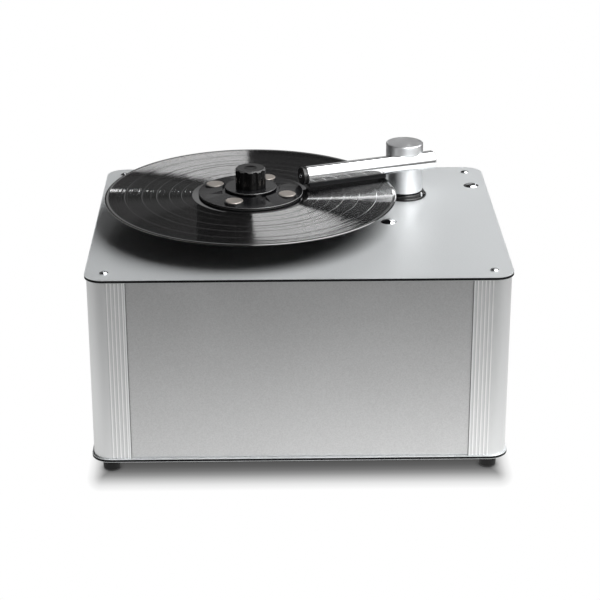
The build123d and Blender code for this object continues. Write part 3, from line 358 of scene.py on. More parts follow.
# %% Wall and streak
WALL = 0.1
WALL_MIDDLE = 0.38
WALL_MIDDLE_ANGLES = (6, 14)
WALL_TOP = 0.78
WALL_TOP_BLUR = 0.03
WALL_FOOT = 0.29
WALL_FOOT_BLUR = 0.05
BELOW_FOOT = 0.1
WALL_DEPTH = (0.0, 0.1)
STREAK = 14.0
STREAK_AXIS = (0.308, 0.903, 0.299)
STREAK_ANGLES = (0.9, 1.8)
bearing = sky.absolute(sky.maths("ARCTAN2", dx, dy))
wall_middle = sky.falling(bearing, *(math.radians(angle) for angle in WALL_MIDDLE_ANGLES))
below_top = sky.falling(dz - WALL_TOP * dy, -WALL_TOP_BLUR, WALL_TOP_BLUR)
above_foot = sky.level(dz - WALL_FOOT * dy, -WALL_FOOT_BLUR, WALL_FOOT_BLUR, BELOW_FOOT, 1.0)
behind = sky.level(dy, *WALL_DEPTH)
wall = (WALL + WALL_MIDDLE * wall_middle) * below_top * above_foot * behind
streak = STREAK * lobe(STREAK_AXIS, *STREAK_ANGLES)
print("wall", WALL, "to", round(WALL + WALL_MIDDLE, 2))

# %% [markdown]
# The front of the room is dim. A glow from the pale floor lies low in it and fades upwards, and a
# broad weak fill above that lights the machine's front. The left side is almost dark in the
# gloss. What the camera sees directly is white, and every other ray sees the room.

# %% World
WHITE = (1.0, 1.0, 1.0)
DIM_SIDE = 0.035
ROOM = 0.02
FLOOR_GLOW = 0.5
GLOW_IN_MATT = 0.05
GLOW_HEIGHT = (0.0, 0.35)
GLOW_DEPTH = (-0.1, 0.1)
FRONT_FILL = 0.5
FILL_DEPTH = (-0.45, -0.15)
FILL_FOOT = (0.05, 0.2)
FILL_TOP = (0.6, 0.8)
floor_glow = sky.level(dz, *GLOW_HEIGHT, FLOOR_GLOW, 0.0) * sky.falling(dy, *GLOW_DEPTH)
front_fill = FRONT_FILL * sky.falling(dy, *FILL_DEPTH)
front_fill = front_fill * sky.level(dz, *FILL_FOOT) * sky.falling(dz, *FILL_TOP)
seen_directly = sky.node("ShaderNodeLightPath", {}, {}, "Is Camera Ray")
in_gloss = seen_directly.output("Is Glossy Ray")
glow = floor_glow * (GLOW_IN_MATT + (1 - GLOW_IN_MATT) * in_gloss)
mirrored_light = in_gloss * (DIM_SIDE + softbox + streak + front_fill)
room = wall + glow + mirrored_light + (1 - in_gloss) * ROOM
strength = seen_directly + (1 - seen_directly) * room
background = sky.node("ShaderNodeBackground", {}, {"Color": WHITE, "Strength": strength})
sky.node("ShaderNodeOutputWorld", {}, {"Surface": background})
print("world of", len(world.node_tree.nodes), "nodes")

# %% [markdown]
# Matt surfaces get their light from one round lamp on the upper right, because a lamp has a
# place: its light falls off to the left and gives the record its soft shadow on the deck. It is
# hidden from the camera and from the gloss, which has the softbox instead.

# %% Round lamp
LAMP_FROM = Vector((0.55, 0.05, 0.8)).normalized()
LAMP_AWAY = 1.5
LAMP_WIDTH = 1.6
LAMP_POWER = 28.5
lamp_light = bpy.data.lights.new("round_lamp", "AREA")
lamp_light.shape = "DISK"
lamp_light.size = LAMP_WIDTH
lamp_light.energy = LAMP_POWER
lamp = bpy.data.objects.new("round_lamp", lamp_light)
lamp_place = LAMP_AWAY * LAMP_FROM + Vector((0, 0, deck))
lamp_aim = LAMP_FROM.to_track_quat("Z", "Y").to_matrix().to_4x4()
lamp.matrix_world = Matrix.Translation(lamp_place) @ lamp_aim
lamp.visible_glossy = False
lamp.visible_camera = False
bpy.context.scene.collection.objects.link(lamp)
print("lamp of", LAMP_POWER, "W,", LAMP_AWAY, "m away")

# %% [markdown]
# ## The floor
# The floor is a plain white sheet, cut into squares. Everything on it is worked out from the
# distance to the machine's outline, so one helper measures how far a point lies past a corner.

# %% Floor sheet
FLOOR_HALF = 4.0
FLOOR_CUTS = 7


def deselect_all():
    if bpy.context.object and bpy.context.object.mode != "OBJECT":
        bpy.ops.object.mode_set(mode="OBJECT")
    bpy.ops.object.select_all(action="DESELECT")


def past_corner(finish, x, y):
    """How far outside a square corner a point lies, by its x and y past it. Negative inside."""
    beyond = finish.join(finish.maths("MAXIMUM", x, 0.0), finish.maths("MAXIMUM", y, 0.0), 0.0)
    within = finish.maths("MINIMUM", finish.maths("MAXIMUM", x, y), 0.0)
    return finish.vectors("LENGTH", beyond) + within


deselect_all()
bpy.ops.mesh.primitive_plane_add(size=2 * FLOOR_HALF, location=(0, 0, 0))
floor = bpy.context.object
floor.name = "floor"
bpy.ops.object.mode_set(mode="EDIT")
bpy.ops.mesh.subdivide(number_cuts=FLOOR_CUTS)
bpy.ops.object.mode_set(mode="OBJECT")
floor_material = bpy.data.materials.new("floor")
floor_material.use_nodes = True
floor.data.materials.append(floor_material)
print("floor", 2 * FLOOR_HALF, "m wide")

# %% [markdown]
# In the metal the floor is seen as pale paper that falls off with distance. To the right of the
# machine it stays a little lighter than to the left, and close under the plates it is darker. A
# range of four numbers below says what goes in, from and to, and what comes out.

# %% The floor as the metal sees it
CONTACT_DISTANCE = 12 * MM
CONTACT_SAMPLES = 16
PAPER = (1.0, 0.995, 0.985)
NEAR_FLOOR = (0.05, 0.5)
FAR_LIGHT = 0.165
SIDE_FALL = 0.4
SIDEWAYS = 0.38
SIDEWAYS_HALF = 0.25
SIDEWAYS_END = 0.15
UNDER_PLATES = (0.0, 0.8, 0.45, 1.0)
FIBRE_SCALE = 40.0
FIBRE_TONES = (0.3, 0.7, 0.97, 1.0)
paper = Finish(floor_material.node_tree)
floor_point = paper.split(paper.place())
beyond_x = paper.absolute(floor_point.output("X")) - cad_box[1].x
beyond_y = paper.absolute(floor_point.output("Y")) - cad_box[1].y
away_x = paper.maths("MAXIMUM", beyond_x, 0.0)
away_y = paper.maths("MAXIMUM", beyond_y, 0.0)
away = paper.vectors("LENGTH", paper.join(SIDE_FALL * away_x, away_y, 0.0))
near_light = paper.level(away, *NEAR_FLOOR)
to_the_right = paper.level(floor_point.output("X"), -SIDEWAYS_HALF, SIDEWAYS_HALF, -0.5, 0.5)
sideways = 1 + SIDEWAYS * to_the_right * paper.falling(away_x, 0.0, SIDEWAYS_END)
lit = FAR_LIGHT + (1 - near_light) * sideways * (1 - FAR_LIGHT)
openness = paper.node(
    "ShaderNodeAmbientOcclusion",
    {"samples": CONTACT_SAMPLES},
    {"Distance": CONTACT_DISTANCE},
    "AO",
)
fibres = paper.level(paper.noise(paper.place(), FIBRE_SCALE), *FIBRE_TONES)
mirrored = lit * fibres * paper.level(openness, *UNDER_PLATES)
in_metal = paper.node("ShaderNodeEmission", {}, {"Color": PAPER, "Strength": mirrored})
print("floor light falls to", FAR_LIGHT)

# %% [markdown]
# The camera sees the floor white, with a soft shadow that hugs the machine's outline. The shadow
# is a ramp over the distance past the outline, wider to the front than to the sides, and the feet
# are darker still.

# %% The floor as the camera sees it
SHADOW_REACH = 40 * MM
SIDE_SHADOW = 2.0
SIDE_INSET = 12 * MM
BY_FEET = (0.3, 0.8, 0.25, 1.0)
SHADOW_FALL = [
    (-40, 0.07), (-26, 0.093), (-17.7, 0.117), (-8.7, 0.178),
    (0, 0.305), (8.3, 0.508), (21, 0.81), (34, 1.0),
]
shadow_x = SIDE_SHADOW * (beyond_x + SIDE_INSET)
past_outline = past_corner(paper, shadow_x, beyond_y)
shadow_place = paper.level(past_outline, -SHADOW_REACH, SHADOW_REACH)
shadow_stops = [
    ((distance / (SHADOW_REACH / MM) + 1) / 2, (white, white, white))
    for distance, white in SHADOW_FALL
]
under_case = paper.node("ShaderNodeValToRGB", {"stops": shadow_stops}, {0: shadow_place})
by_feet = paper.level(openness, *BY_FEET)
shadow = paper.colours(1.0, under_case, paper.join(by_feet, by_feet, by_feet), "MULTIPLY")
in_view = paper.node("ShaderNodeEmission", {}, {"Color": shadow, "Strength": 1.0})
camera_sees = paper.node("ShaderNodeLightPath", {}, {}, "Is Camera Ray")
floor_light = paper.mixed(camera_sees, in_metal, in_view)
paper.node("ShaderNodeOutputMaterial", {}, {"Surface": floor_light})
print("floor shadow of", len(SHADOW_FALL), "steps")

# %% [markdown]
# ## Modelling helpers
# An operator acts on all that is selected, so every helper first deselects the rest. A primitive
# is added at its place, and the place is baked into its mesh.

# %% Start, smooth and modify a piece
SMOOTH_ANGLE = 32


def pick(piece):
    """Selects the piece alone and makes it the active one."""
    deselect_all()
    piece.select_set(True)
    bpy.context.view_layer.objects.active = piece


def begin(add, name, **settings):
    """Adds a primitive with nothing else selected, gives it a name and bakes its place."""
    deselect_all()
    add(**settings)
    piece = bpy.context.object
    piece.name = name
    piece.data.name = name
    bpy.ops.object.transform_apply(location=True, rotation=True, scale=True)
    return piece


def modify(piece, kind, **settings):
    """Adds a modifier with its settings, and applies it."""
    pick(piece)
    modifier = piece.modifiers.new(kind.lower(), kind)
    for name, value in settings.items():
        setattr(modifier, name, value)
    bpy.ops.object.modifier_apply(modifier=modifier.name)


def smooth(piece, angle=SMOOTH_ANGLE):
    pick(piece)
    bpy.ops.object.shade_smooth_by_angle(angle=math.radians(angle))


print("pieces are smoothed up to", SMOOTH_ANGLE, "degrees")

# %% [markdown]
# Most round pieces here are turned on a lathe. The same is done to a circle: one ring of edges is
# extruded and resized for each corner of the half section. The rings at the ends are then either
# filled, for a solid piece, or bridged, for a piece with a hole through it.

# %% Turn a piece


def turn(name, profile, centre, sides, hole=False):
    """A turned piece from (radius, height) points about an upright axis through centre."""
    radius, height = profile[0]
    place = (centre.x, centre.y, height)
    add = bpy.ops.mesh.primitive_circle_add
    piece = begin(add, name, vertices=sides, radius=radius, location=place)
    bpy.ops.object.mode_set(mode="EDIT")
    bpy.ops.mesh.select_mode(type="EDGE")
    bpy.ops.mesh.select_all(action="SELECT")
    for (radius, height), (next_radius, next_height) in zip(profile, profile[1:]):
        step = {"value": (0, 0, next_height - height)}
        bpy.ops.mesh.extrude_region_move(TRANSFORM_OT_translate=step)
        ratio = next_radius / radius
        pivot = (centre.x, centre.y, next_height)
        bpy.ops.transform.resize(value=(ratio, ratio, 1), center_override=pivot)
    bpy.ops.mesh.select_all(action="DESELECT")
    bpy.ops.mesh.select_non_manifold()
    if hole:
        bpy.ops.mesh.bridge_edge_loops()
    else:
        bpy.ops.mesh.fill_holes(sides=0)
    bpy.ops.mesh.select_all(action="SELECT")
    bpy.ops.mesh.normals_make_consistent(inside=False)
    bpy.ops.object.mode_set(mode="OBJECT")
    return piece


print("lathe ready")

# %% [markdown]
# A finished piece rides on the body of the node that it stands for, replaces that node and takes
# the node's own finish.

# %% Fit a piece


def dress(piece, slot):
    piece.data.materials.clear()
    piece.data.materials.append(finishes[slot])


def fit(piece, node):
    """Puts the piece on the body of the node it stands for, with its finish."""
    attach(piece, body_of[node])
    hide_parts(node)
    dress(piece, slot_of[node])
    print(piece.name, len(piece.data.polygons), "faces for", node)


print("finishes used by the machine:", len(set(slot_of.values())))

# %% [markdown]
# ## Metal finishes
# Bare metal differs in how it was worked: bead-blasted sheet has a fine even grain, an extrusion
# has faint lines along its length, and a turned piece has lines around its axis. One recipe takes
# the stretch of the grain, so each worked surface only says which way its lines run.

# %% Sheet, extrusion and plain metals
METAL_PATCHES = 0.03
METAL_PATCH_SCALE = 14.0


def swing(pattern, amount):
    """A pattern's swing about its middle, times an amount."""
    return amount * (pattern - 0.5)


def metal(
    slot, colour, roughness, stretch=(1, 1, 1), grain_scale=2200.0, grain=0.05, bump=0.004
):
    """Metal with a fine grain, stretched along the way it was worked, and faint broad patches."""
    finish = new_finish(slot)
    place = finish.place()
    lines = finish.noise(finish.vectors("MULTIPLY", place, stretch), grain_scale, 2.0)
    broad = finish.noise(place, METAL_PATCH_SCALE, 2.0)
    tone = 1 + swing(lines, 2 * grain) + swing(broad, 2 * METAL_PATCHES)
    finish.surface(
        Base_Color=finish.scaled(colour, tone),
        Metallic=1.0,
        Roughness=roughness + swing(lines, 0.06) + swing(broad, 0.05),
        Normal=finish.bump(lines, bump * MM),
    )


metal("panel_metal", (0.60, 0.605, 0.61), 0.36, grain_scale=800.0, grain=0.16, bump=0.005)
metal("screw_chrome", (0.72, 0.73, 0.74), 0.09, grain_scale=900.0, grain=0.01, bump=0.0)
metal("tube_chrome", (0.86, 0.865, 0.87), 0.035, grain_scale=600.0, grain=0.01, bump=0.0)
metal(
    "weight_nickel", (0.45, 0.415, 0.385), 0.5,
    stretch=(1, 0.06, 1), grain_scale=2600.0, grain=0.12, bump=0.006,
)
metal("steel", (0.55, 0.56, 0.57), 0.28, stretch=(0.1, 0.1, 1), grain_scale=3000.0)
metal("spring_steel", (0.5, 0.51, 0.52), 0.3, grain_scale=4000.0)
metal("bearing_bronze", (0.72, 0.54, 0.3), 0.32, stretch=(0.1, 0.1, 1), grain_scale=3000.0)
metal("gear_brass", (0.78, 0.6, 0.33), 0.3, stretch=(1, 1, 0.1), grain_scale=3000.0)
metal("bracket_steel", (0.58, 0.59, 0.6), 0.38, stretch=(1, 0.1, 1), grain_scale=2400.0)
metal("impeller_metal", (0.75, 0.76, 0.77), 0.36, grain_scale=2000.0)
print(len(finishes), "metal finishes")

# %% [markdown]
# Each plate is a black core between two thin skins of blasted, clear-anodised metal. That finish is
# half matt: most light is scattered and a little is mirrored softly. The sawn edge of the skin is
# bare metal, and its colour is also made lighter there as a painted highlight line. The distance
# from the plate's rounded outline says where it is.

# %% Plate finish
EDGE_WIDTH = 0.9 * MM
EDGE_BLUR = 0.2 * MM
PLATE_CORNER = 19.0 * MM
BLAST_SCALE = 800.0
SKIN_METAL = 0.18
SAWN_METAL = 0.5
PAINTED_EDGE_HIGHLIGHT = 0.3
plate_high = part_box("top_plate_skins")[1]
blasted = new_finish("plate_skin")
plate_place = blasted.place()
plate_point = blasted.split(plate_place)
corner_x = blasted.absolute(plate_point.output("X")) - (plate_high.x - PLATE_CORNER)
corner_y = blasted.absolute(plate_point.output("Y")) - (plate_high.y - PLATE_CORNER)
from_outline = PLATE_CORNER - past_corner(blasted, corner_x, corner_y)
sawn_edge_and_highlight = blasted.falling(from_outline, EDGE_WIDTH, EDGE_WIDTH + EDGE_BLUR)
blast = blasted.noise(plate_place, BLAST_SCALE, 2.0)
plate_cloud = blasted.noise(plate_place, 9.0, 2.0)
# The sawn edge is bare metal, and its lighter colour there is a painted highlight line.
plate_tone = 1 + swing(blast, 0.22) + swing(plate_cloud, 0.05) + PAINTED_EDGE_HIGHLIGHT * sawn_edge_and_highlight
blasted.surface(
    Base_Color=blasted.scaled((0.665, 0.685, 0.695), plate_tone),
    Metallic=SKIN_METAL + SAWN_METAL * sawn_edge_and_highlight,
    Specular_IOR_Level=0.3,
    Roughness=0.4 + swing(blast, 0.06),
    Normal=blasted.bump(blast, 0.006 * MM),
)
print("plate skins with a sawn edge of", round(EDGE_WIDTH / MM, 1), "mm")

# %% [markdown]
# The corner posts are extrusions with five grooves in each leg. The edge of a groove that faces the
# light gets a painted highlight, and the other edge a little painted shade. The grooves repeat at
# one pitch from the leg's end, so the distance along the leg, folded at that pitch, says where an
# edge is. The leg itself ends in a painted highlight line, and beside it the joint to the panel is
# a line of painted shade.

# %% Corner post finish
LEG = 38.9 * MM
LEG_THICK = 4 * MM
FIRST_GROOVE = 4.0 * MM
GROOVE_PITCH = 3.7 * MM
GROOVES = 5
GROOVED_FROM = (FIRST_GROOVE - 1.6 * MM, FIRST_GROOVE - 1.4 * MM)
GROOVED_TO = tuple(FIRST_GROOVE + (GROOVES - end) * GROOVE_PITCH for end in (0.5, 0.4))
PAINTED_GROOVE_HIGHLIGHT = 0.42
BRIGHT_PLACE = (0.0, 0.3, 0.95, 1.2)
PAINTED_GROOVE_SHADE = 0.12
DARK_PLACE = (-1.2, -0.9, -0.3, 0.0)
PAINTED_END_HIGHLIGHT = 0.3
END_LINE = (1.6 * MM, 1.9 * MM)
PAINTED_JOINT_SHADE = 1.0
JOINT_LINE = (0.65 * MM, 0.8 * MM)
post_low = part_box("corner_post_front_left")[0]
post_outer_x, post_outer_y = -post_low.x, -post_low.y
extrusion = new_finish("post_metal")
post_place = extrusion.place()
post_x, post_y = (extrusion.split(post_place).output(axis) for axis in "XY")
die_lines = extrusion.noise(extrusion.vectors("MULTIPLY", post_place, (1, 1, 0.015)), 2600.0, 3.0)
post_cloud = extrusion.noise(post_place, 9.0, 2.0)


def between(value, start, full, fade, end):
    """1 from full to fade, in millimetres, with a ramp on each side."""
    rising = extrusion.level(value, start * MM, full * MM)
    return rising * extrusion.falling(value, fade * MM, end * MM)


def painted_groove_light(along, outer):
    """Painted highlight and painted shade on the grooves' edges of a leg, and at its end and its
    joint, by the place along it.
    """
    from_end = extrusion.absolute(along) - (outer - LEG)
    side = extrusion.maths("SIGN", along)
    grooved = extrusion.level(from_end, *GROOVED_FROM) * extrusion.falling(from_end, *GROOVED_TO)
    from_fold = from_end - (FIRST_GROOVE - GROOVE_PITCH / 2)
    folded = extrusion.maths("MODULO", from_fold, GROOVE_PITCH) - GROOVE_PITCH / 2
    across = folded * side
    bright = PAINTED_GROOVE_HIGHLIGHT * between(across, *BRIGHT_PLACE)
    dark = PAINTED_GROOVE_SHADE * between(across, *DARK_PLACE)
    end_line = PAINTED_END_HIGHLIGHT * extrusion.falling(from_end, *END_LINE)
    joint_shade = PAINTED_JOINT_SHADE * extrusion.falling(from_end, *JOINT_LINE)
    return (bright - dark) * grooved + end_line - joint_shade


front_leg = extrusion.absolute(post_y) > post_outer_y - LEG_THICK
side_leg = extrusion.absolute(post_x) > post_outer_x - LEG_THICK
front_painted_light = painted_groove_light(post_x, post_outer_x) * front_leg
side_painted_light = painted_groove_light(post_y, post_outer_y) * side_leg
# The post's colour carries painted highlights and painted shade: on the grooves' edges, at the
# leg's end and at the joint.
post_tone = 1 + front_painted_light + side_painted_light + swing(die_lines, 0.05) + swing(post_cloud, 0.04)
extrusion.surface(
    Base_Color=extrusion.scaled((0.70, 0.71, 0.715), post_tone),
    Metallic=1.0,
    Roughness=0.42 + swing(die_lines, 0.06),
    Normal=extrusion.bump(die_lines, 0.002 * MM),
)
print("posts with", GROOVES, "grooves on each leg")

# %% [markdown]
# ## Plastics, rubber, paint and casting
# Moulded plastics, rubber, paint and cast iron differ in colour, in gloss and in how coarse the
# skin of the mould was. On a black part, the rounded edge that faces half upwards can be made
# lighter as a painted highlight line, and the way the surface faces says where that is.

# %% Moulded finishes
MOTTLE = 0.06
MOTTLE_SCALE = 30.0
HIGHLIGHT_STARTS = (0.2, 0.45)
HIGHLIGHT_ENDS = (0.8, 0.97)


def painted_rim_highlight(finish):
    """1 on the rounded edges that face half upwards, where a painted highlight makes them lighter.
    """
    facing = finish.upward()
    rising = finish.level(facing, *HIGHLIGHT_STARTS, smooth=True)
    return rising * finish.falling(facing, *HIGHLIGHT_ENDS, smooth=True)


def with_painted_rim_highlight(finish, colour, edge):
    """The colour, lighter by the edge's share as a painted highlight on the rounded edges that face
    half upwards.
    """
    return finish.colours(edge * painted_rim_highlight(finish), colour, WHITE) if edge else colour


def moulded(
    slot, colour, roughness,
    texture_scale=1800.0, texture=0.01, coat=0.0, metallic=0.0, gloss=0.5, edge=0.0,
):
    """A moulded, painted or cast surface with its mould's skin, a slight mottle, and a painted
    highlight on its upward rounded edges if edge is given.
    """
    finish = new_finish(slot)
    place = finish.place()
    skin = finish.noise(place, texture_scale, 3.0)
    cloud = finish.noise(place, MOTTLE_SCALE, 3.0)
    lighter = tuple(min(1.0, part * (1 + MOTTLE) + 0.002) for part in colour)
    finish.surface(
        Base_Color=with_painted_rim_highlight(finish, finish.colours(cloud, colour, lighter), edge),
        Metallic=metallic,
        Roughness=roughness + swing(skin, 0.08) + swing(cloud, 0.06),
        Specular_IOR_Level=gloss,
        Coat_Weight=coat,
        Coat_Roughness=0.08,
        Normal=finish.bump(skin, texture * MM),
    )


moulded("plate_core", (0.008, 0.008, 0.009), 0.6, gloss=0.12)
# The knob's rim gets a painted highlight line.
moulded(
    "knob_plastic", (0.002, 0.002, 0.002), 0.12,
    texture_scale=500.0, texture=0.001, gloss=0.25, edge=0.16,
)
moulded("ring_black", (0.002, 0.002, 0.002), 0.06, texture_scale=500.0, texture=0.002)
moulded("plug_black", (0.02, 0.02, 0.02), 0.28, texture=0.004)
moulded("foot_rubber", (0.012, 0.012, 0.012), 0.6, texture=0.03, gloss=0.2)
moulded("pad_rubber", (0.03, 0.03, 0.03), 0.75, texture=0.04)
moulded("seal_rubber", (0.04, 0.04, 0.04), 0.7, texture=0.03)
moulded(
    "housing_cast", (0.33, 0.34, 0.35), 0.5, texture_scale=900.0, texture=0.06, metallic=0.9
)
moulded("gear_nylon", (0.86, 0.85, 0.8), 0.45, texture=0.006)
moulded("motor_steel", (0.24, 0.25, 0.26), 0.4, texture=0.012, coat=0.2)
moulded("tank_plastic", (0.8, 0.8, 0.78), 0.42)
moulded("hose_rubber", (0.06, 0.06, 0.065), 0.5, texture=0.015)
moulded("pipe_plastic", (0.3, 0.31, 0.32), 0.35, texture=0.006)
moulded("fan_plastic", (0.16, 0.16, 0.17), 0.45, texture=0.014)
moulded("fitting_black", (0.03, 0.03, 0.03), 0.42, texture=0.012)
moulded("rocker_black", (0.025, 0.025, 0.025), 0.14, texture_scale=700.0, texture=0.003)
print(len(finishes), "finishes so far")

# %% [markdown]
# The velvet is a short pile: dark, with a soft sheen at grazing angles and a fine uneven nap.

# %% Velvet
pile = new_finish("velvet")
nap = pile.noise(pile.place(), 3500.0, 4.0)
pile.surface(
    Base_Color=pile.colours(nap, (0.006, 0.006, 0.007), (0.02, 0.02, 0.022)),
    Roughness=0.9,
    Sheen_Weight=0.12,
    Sheen_Roughness=0.4,
    Normal=pile.bump(nap, 0.15 * MM),
)
print("velvet made")

# %% [markdown]
# The circuit board is lacquered green with straight copper tracks under the lacquer, which a
# noise of rounded coordinates gives. Its parts stand above the board and are dark.

# %% Circuit board
BOARD_PARTS_ABOVE = 11 * MM
TRACK_CELL = (2.4 * MM, 1.2 * MM, 40 * MM)
board = new_finish("board_green")
board_place = board.place()
track = board.noise(board.vectors("SNAP", board_place, TRACK_CELL), 180.0, 1.0) > 0.52
lacquer = board.colours(track, (0.015, 0.12, 0.05), (0.03, 0.22, 0.09))
board_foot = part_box("circuit_board")[0].z
above_board = board.split(board_place).output("Z") > board_foot + BOARD_PARTS_ABOVE
speckle = board.noise(board_place, 300.0)
part_colour = board.colours(speckle, (0.03, 0.032, 0.036), (0.06, 0.062, 0.07))
board.surface(
    Base_Color=board.colours(above_board, lacquer, part_colour),
    Roughness=board.level(board.noise(board_place, 900.0), 0.3, 0.7, 0.28, 0.42),
    Normal=board.bump(track, 0.03 * MM),
)
print("circuit board made")

# %% [markdown]
# ## The record
# Pressed vinyl is a black mirror cut by one long groove. Its V-shaped walls tilt the mirror
# inwards and outwards, never sideways, and that is why a lamp makes wedges of light that point at
# the spindle. The finish does the same: it tilts the normal along the radius by a fine triangle
# wave.

# %% Tilting a surface along its radius
MOST_TILT = 0.62


def polar(finish, centre):
    """Distance from an upright axis, and the unit vector away from it."""
    flat = finish.vectors("MULTIPLY", finish.place(), (1, 1, 0))
    offset = finish.vectors("SUBTRACT", flat, (centre.x, centre.y, 0))
    return finish.vectors("LENGTH", offset), finish.vectors("NORMALIZE", offset)


def tilted_normal(finish, lean):
    """The surface's own normal, tilted by a slope along directions of the piece."""
    settings = {"vector_type": "VECTOR", "convert_from": "OBJECT", "convert_to": "WORLD"}
    turned = finish.node("ShaderNodeVectorTransform", settings, {0: lean})
    return finish.vectors("NORMALIZE", finish.vectors("ADD", finish.normal(), turned))


print("groove walls lean", round(math.degrees(math.atan(MOST_TILT))), "degrees")

# %% [markdown]
# The tilt changes from band to band with the loudness of the music. It is weak in the gaps
# between tracks, and nought on the rim and on the run-out. The groove is drawn a little coarser
# than a real one, so that it doesn't flicker. The label is plain paper, and the side that looks
# down is matt, which keeps the record's shadow on the deck deep.

# %% Vinyl finish
LABEL_RADIUS = 50 * MM
GROOVE_PERIOD = 0.34 * MM
FLAT_SHARE = 0.10
RUN_OUT_END = 60.5 * MM
GROOVES_END = 147.0 * MM
TRACK_GAPS = [71.8, 84.3, 97.5, 112.6, 130.4]
GAP_HALF = (0.2 * MM, 0.5 * MM)
GAP_TILT = 0.3
EDGE_OF_MUSIC = 0.4 * MM
EDGE_OF_RIM = 0.3 * MM
EDGE_OF_LABEL = 0.1 * MM
MUSIC_SCALE = 420.0
MUSIC_RANGE = (0.3, 0.7, 0.84, 1.0)
FINE_SCALE = 1100.0
FINE_RANGE = (0.36, 0.64, 0.72, 1.0)
QUIET_SCALE = 700.0
QUIET_RANGE = (0.6, 0.68, 1.0, 0.5)
ROUGH_RANGE = (0.35, 0.65, 0.04, 0.11)
LABEL_ROUGHNESS = 0.45
BLACK = (0.003, 0.003, 0.0033)
vinyl = new_finish("vinyl")
radius, outward = polar(vinyl, spindle)


def along_radius(scale, place, detail, roughness=0.5):
    """A pattern of rings. Another place gives other rings."""
    return vinyl.noise(vinyl.join(radius, 0.0, place), scale, detail, roughness)


music = vinyl.level(along_radius(MUSIC_SCALE, 0.0, 5.0, 0.6), *MUSIC_RANGE)
fine_rings = along_radius(FINE_SCALE, 3.0, 3.0)
fine = vinyl.level(fine_rings, *FINE_RANGE)
quiet_lines = vinyl.level(along_radius(QUIET_SCALE, 7.0, 1.0), *QUIET_RANGE)
grooved = vinyl.level(radius, RUN_OUT_END, RUN_OUT_END + EDGE_OF_MUSIC)
grooved = grooved * vinyl.falling(radius, GROOVES_END, GROOVES_END + EDGE_OF_RIM)
for gap in TRACK_GAPS:
    from_gap = vinyl.absolute(radius - gap * MM)
    grooved = grooved * vinyl.level(from_gap, *GAP_HALF, GAP_TILT, 1.0)
wave = vinyl.maths("PINGPONG", radius / GROOVE_PERIOD, 1.0)
walls = vinyl.level(wave, 0.5 - FLAT_SHARE / 2, 0.5 + FLAT_SHARE / 2, -1.0, 1.0)
slope = walls * grooved * (music * fine * quiet_lines) * MOST_TILT
label = vinyl.falling(radius, LABEL_RADIUS - EDGE_OF_LABEL, LABEL_RADIUS + EDGE_OF_LABEL)
paper_fibre = vinyl.noise(vinyl.place(), 900.0, 4.0)
label_colour = vinyl.colours(paper_fibre, (0.42, 0.36, 0.27), (0.5, 0.44, 0.34))
underside = vinyl.principled(
    Base_Color=(0.008, 0.008, 0.009), Roughness=0.5, Specular_IOR_Level=0.15
)
vinyl.surface(
    below=underside,
    Base_Color=vinyl.colours(label, BLACK, label_colour),
    Roughness=LABEL_ROUGHNESS * label + vinyl.level(fine_rings, *ROUGH_RANGE),
    IOR=2.7,
    Normal=tilted_normal(vinyl, vinyl.scaled(outward, slope)),
)
print("vinyl with", len(TRACK_GAPS), "track gaps")

# %% [markdown]
# The disc itself is turned. It is thickest at the label and at the rim, and a little lower where
# the grooves are, so a stacked record never rests on its music. The same half section, mirrored
# in the disc's middle, gives the other side.

# %% Record
RECORD_SIDES = 256
RECORD_SMOOTH = 40
RIM_DROP = 0.55 * MM
RECORD_FACE = [
    (3.65, 0.0), (50.0, 0.0), (52.0, 0.25), (146.4, 0.25),
    (147.6, 0.05), (149.2, 0.0), (150.3, 0.12),
]
record_profile = [(reach * MM, record_high.z - drop * MM) for reach, drop in RECORD_FACE]
record_profile.append((record_radius, record_high.z - RIM_DROP))
record_middle = (record_high.z + record_low.z) / 2
record_profile += [(reach, 2 * record_middle - z) for reach, z in reversed(record_profile)]
record_disc = turn("record_disc", record_profile, spindle, RECORD_SIDES, hole=True)
smooth(record_disc, RECORD_SMOOTH)
fit(record_disc, "record")

# %% [markdown]
# ## Turned finishes
# The arm's column is a turned bar. Its side has fine lines around it, and its top has the rings
# of a facing cut, which throw the same kind of wedge of light as the record does. The clamp's
# disc is turned from black plastic, with much fainter rings.

# %% Column and clamp finishes
FLAT_FACE = 0.7
RING_SCALE = 7000.0
LINE_SCALE = 9000.0
TURNED_PATCH_SCALE = 60.0


def turned_finish(
    slot, colour, roughness, centre, metallic, ring_tilt, line_tilt, gloss=0.5, edge=0.0
):
    """A lathe-turned surface: rings on flat faces, lines around the side, and a painted highlight
    on its upward rounded edges if edge is given.
    """
    finish = new_finish(slot)
    distance, away = polar(finish, centre)
    height = finish.split(finish.place()).output("Z")
    rings = finish.noise(finish.join(distance, 0.0, 0.0), RING_SCALE, 2.0, 0.6)
    lines = finish.noise(finish.join(0.0, 0.0, height), LINE_SCALE, 2.0, 0.6)
    flat_face = finish.absolute(finish.upward()) > FLAT_FACE
    ring_slope = finish.level(rings, 0.4, 0.6, -ring_tilt, ring_tilt) * flat_face
    line_slope = finish.level(lines, 0.35, 0.65, -line_tilt, line_tilt) * (1 - flat_face)
    lean = finish.vectors("ADD", finish.scaled(away, ring_slope), finish.scaled(UP, line_slope))
    patches = finish.noise(finish.place(), TURNED_PATCH_SCALE, 3.0)
    tone = finish.scaled(colour, 1 + swing(patches, 0.08) + swing(rings, 0.1))
    finish.surface(
        Base_Color=with_painted_rim_highlight(finish, tone, edge),
        Metallic=metallic,
        Roughness=roughness + swing(patches, 0.06),
        Specular_IOR_Level=gloss,
        Normal=tilted_normal(finish, lean),
    )


turned_finish("column_metal", (0.92, 0.93, 0.94), 0.33, column, 1.0, 0.3, 0.36)
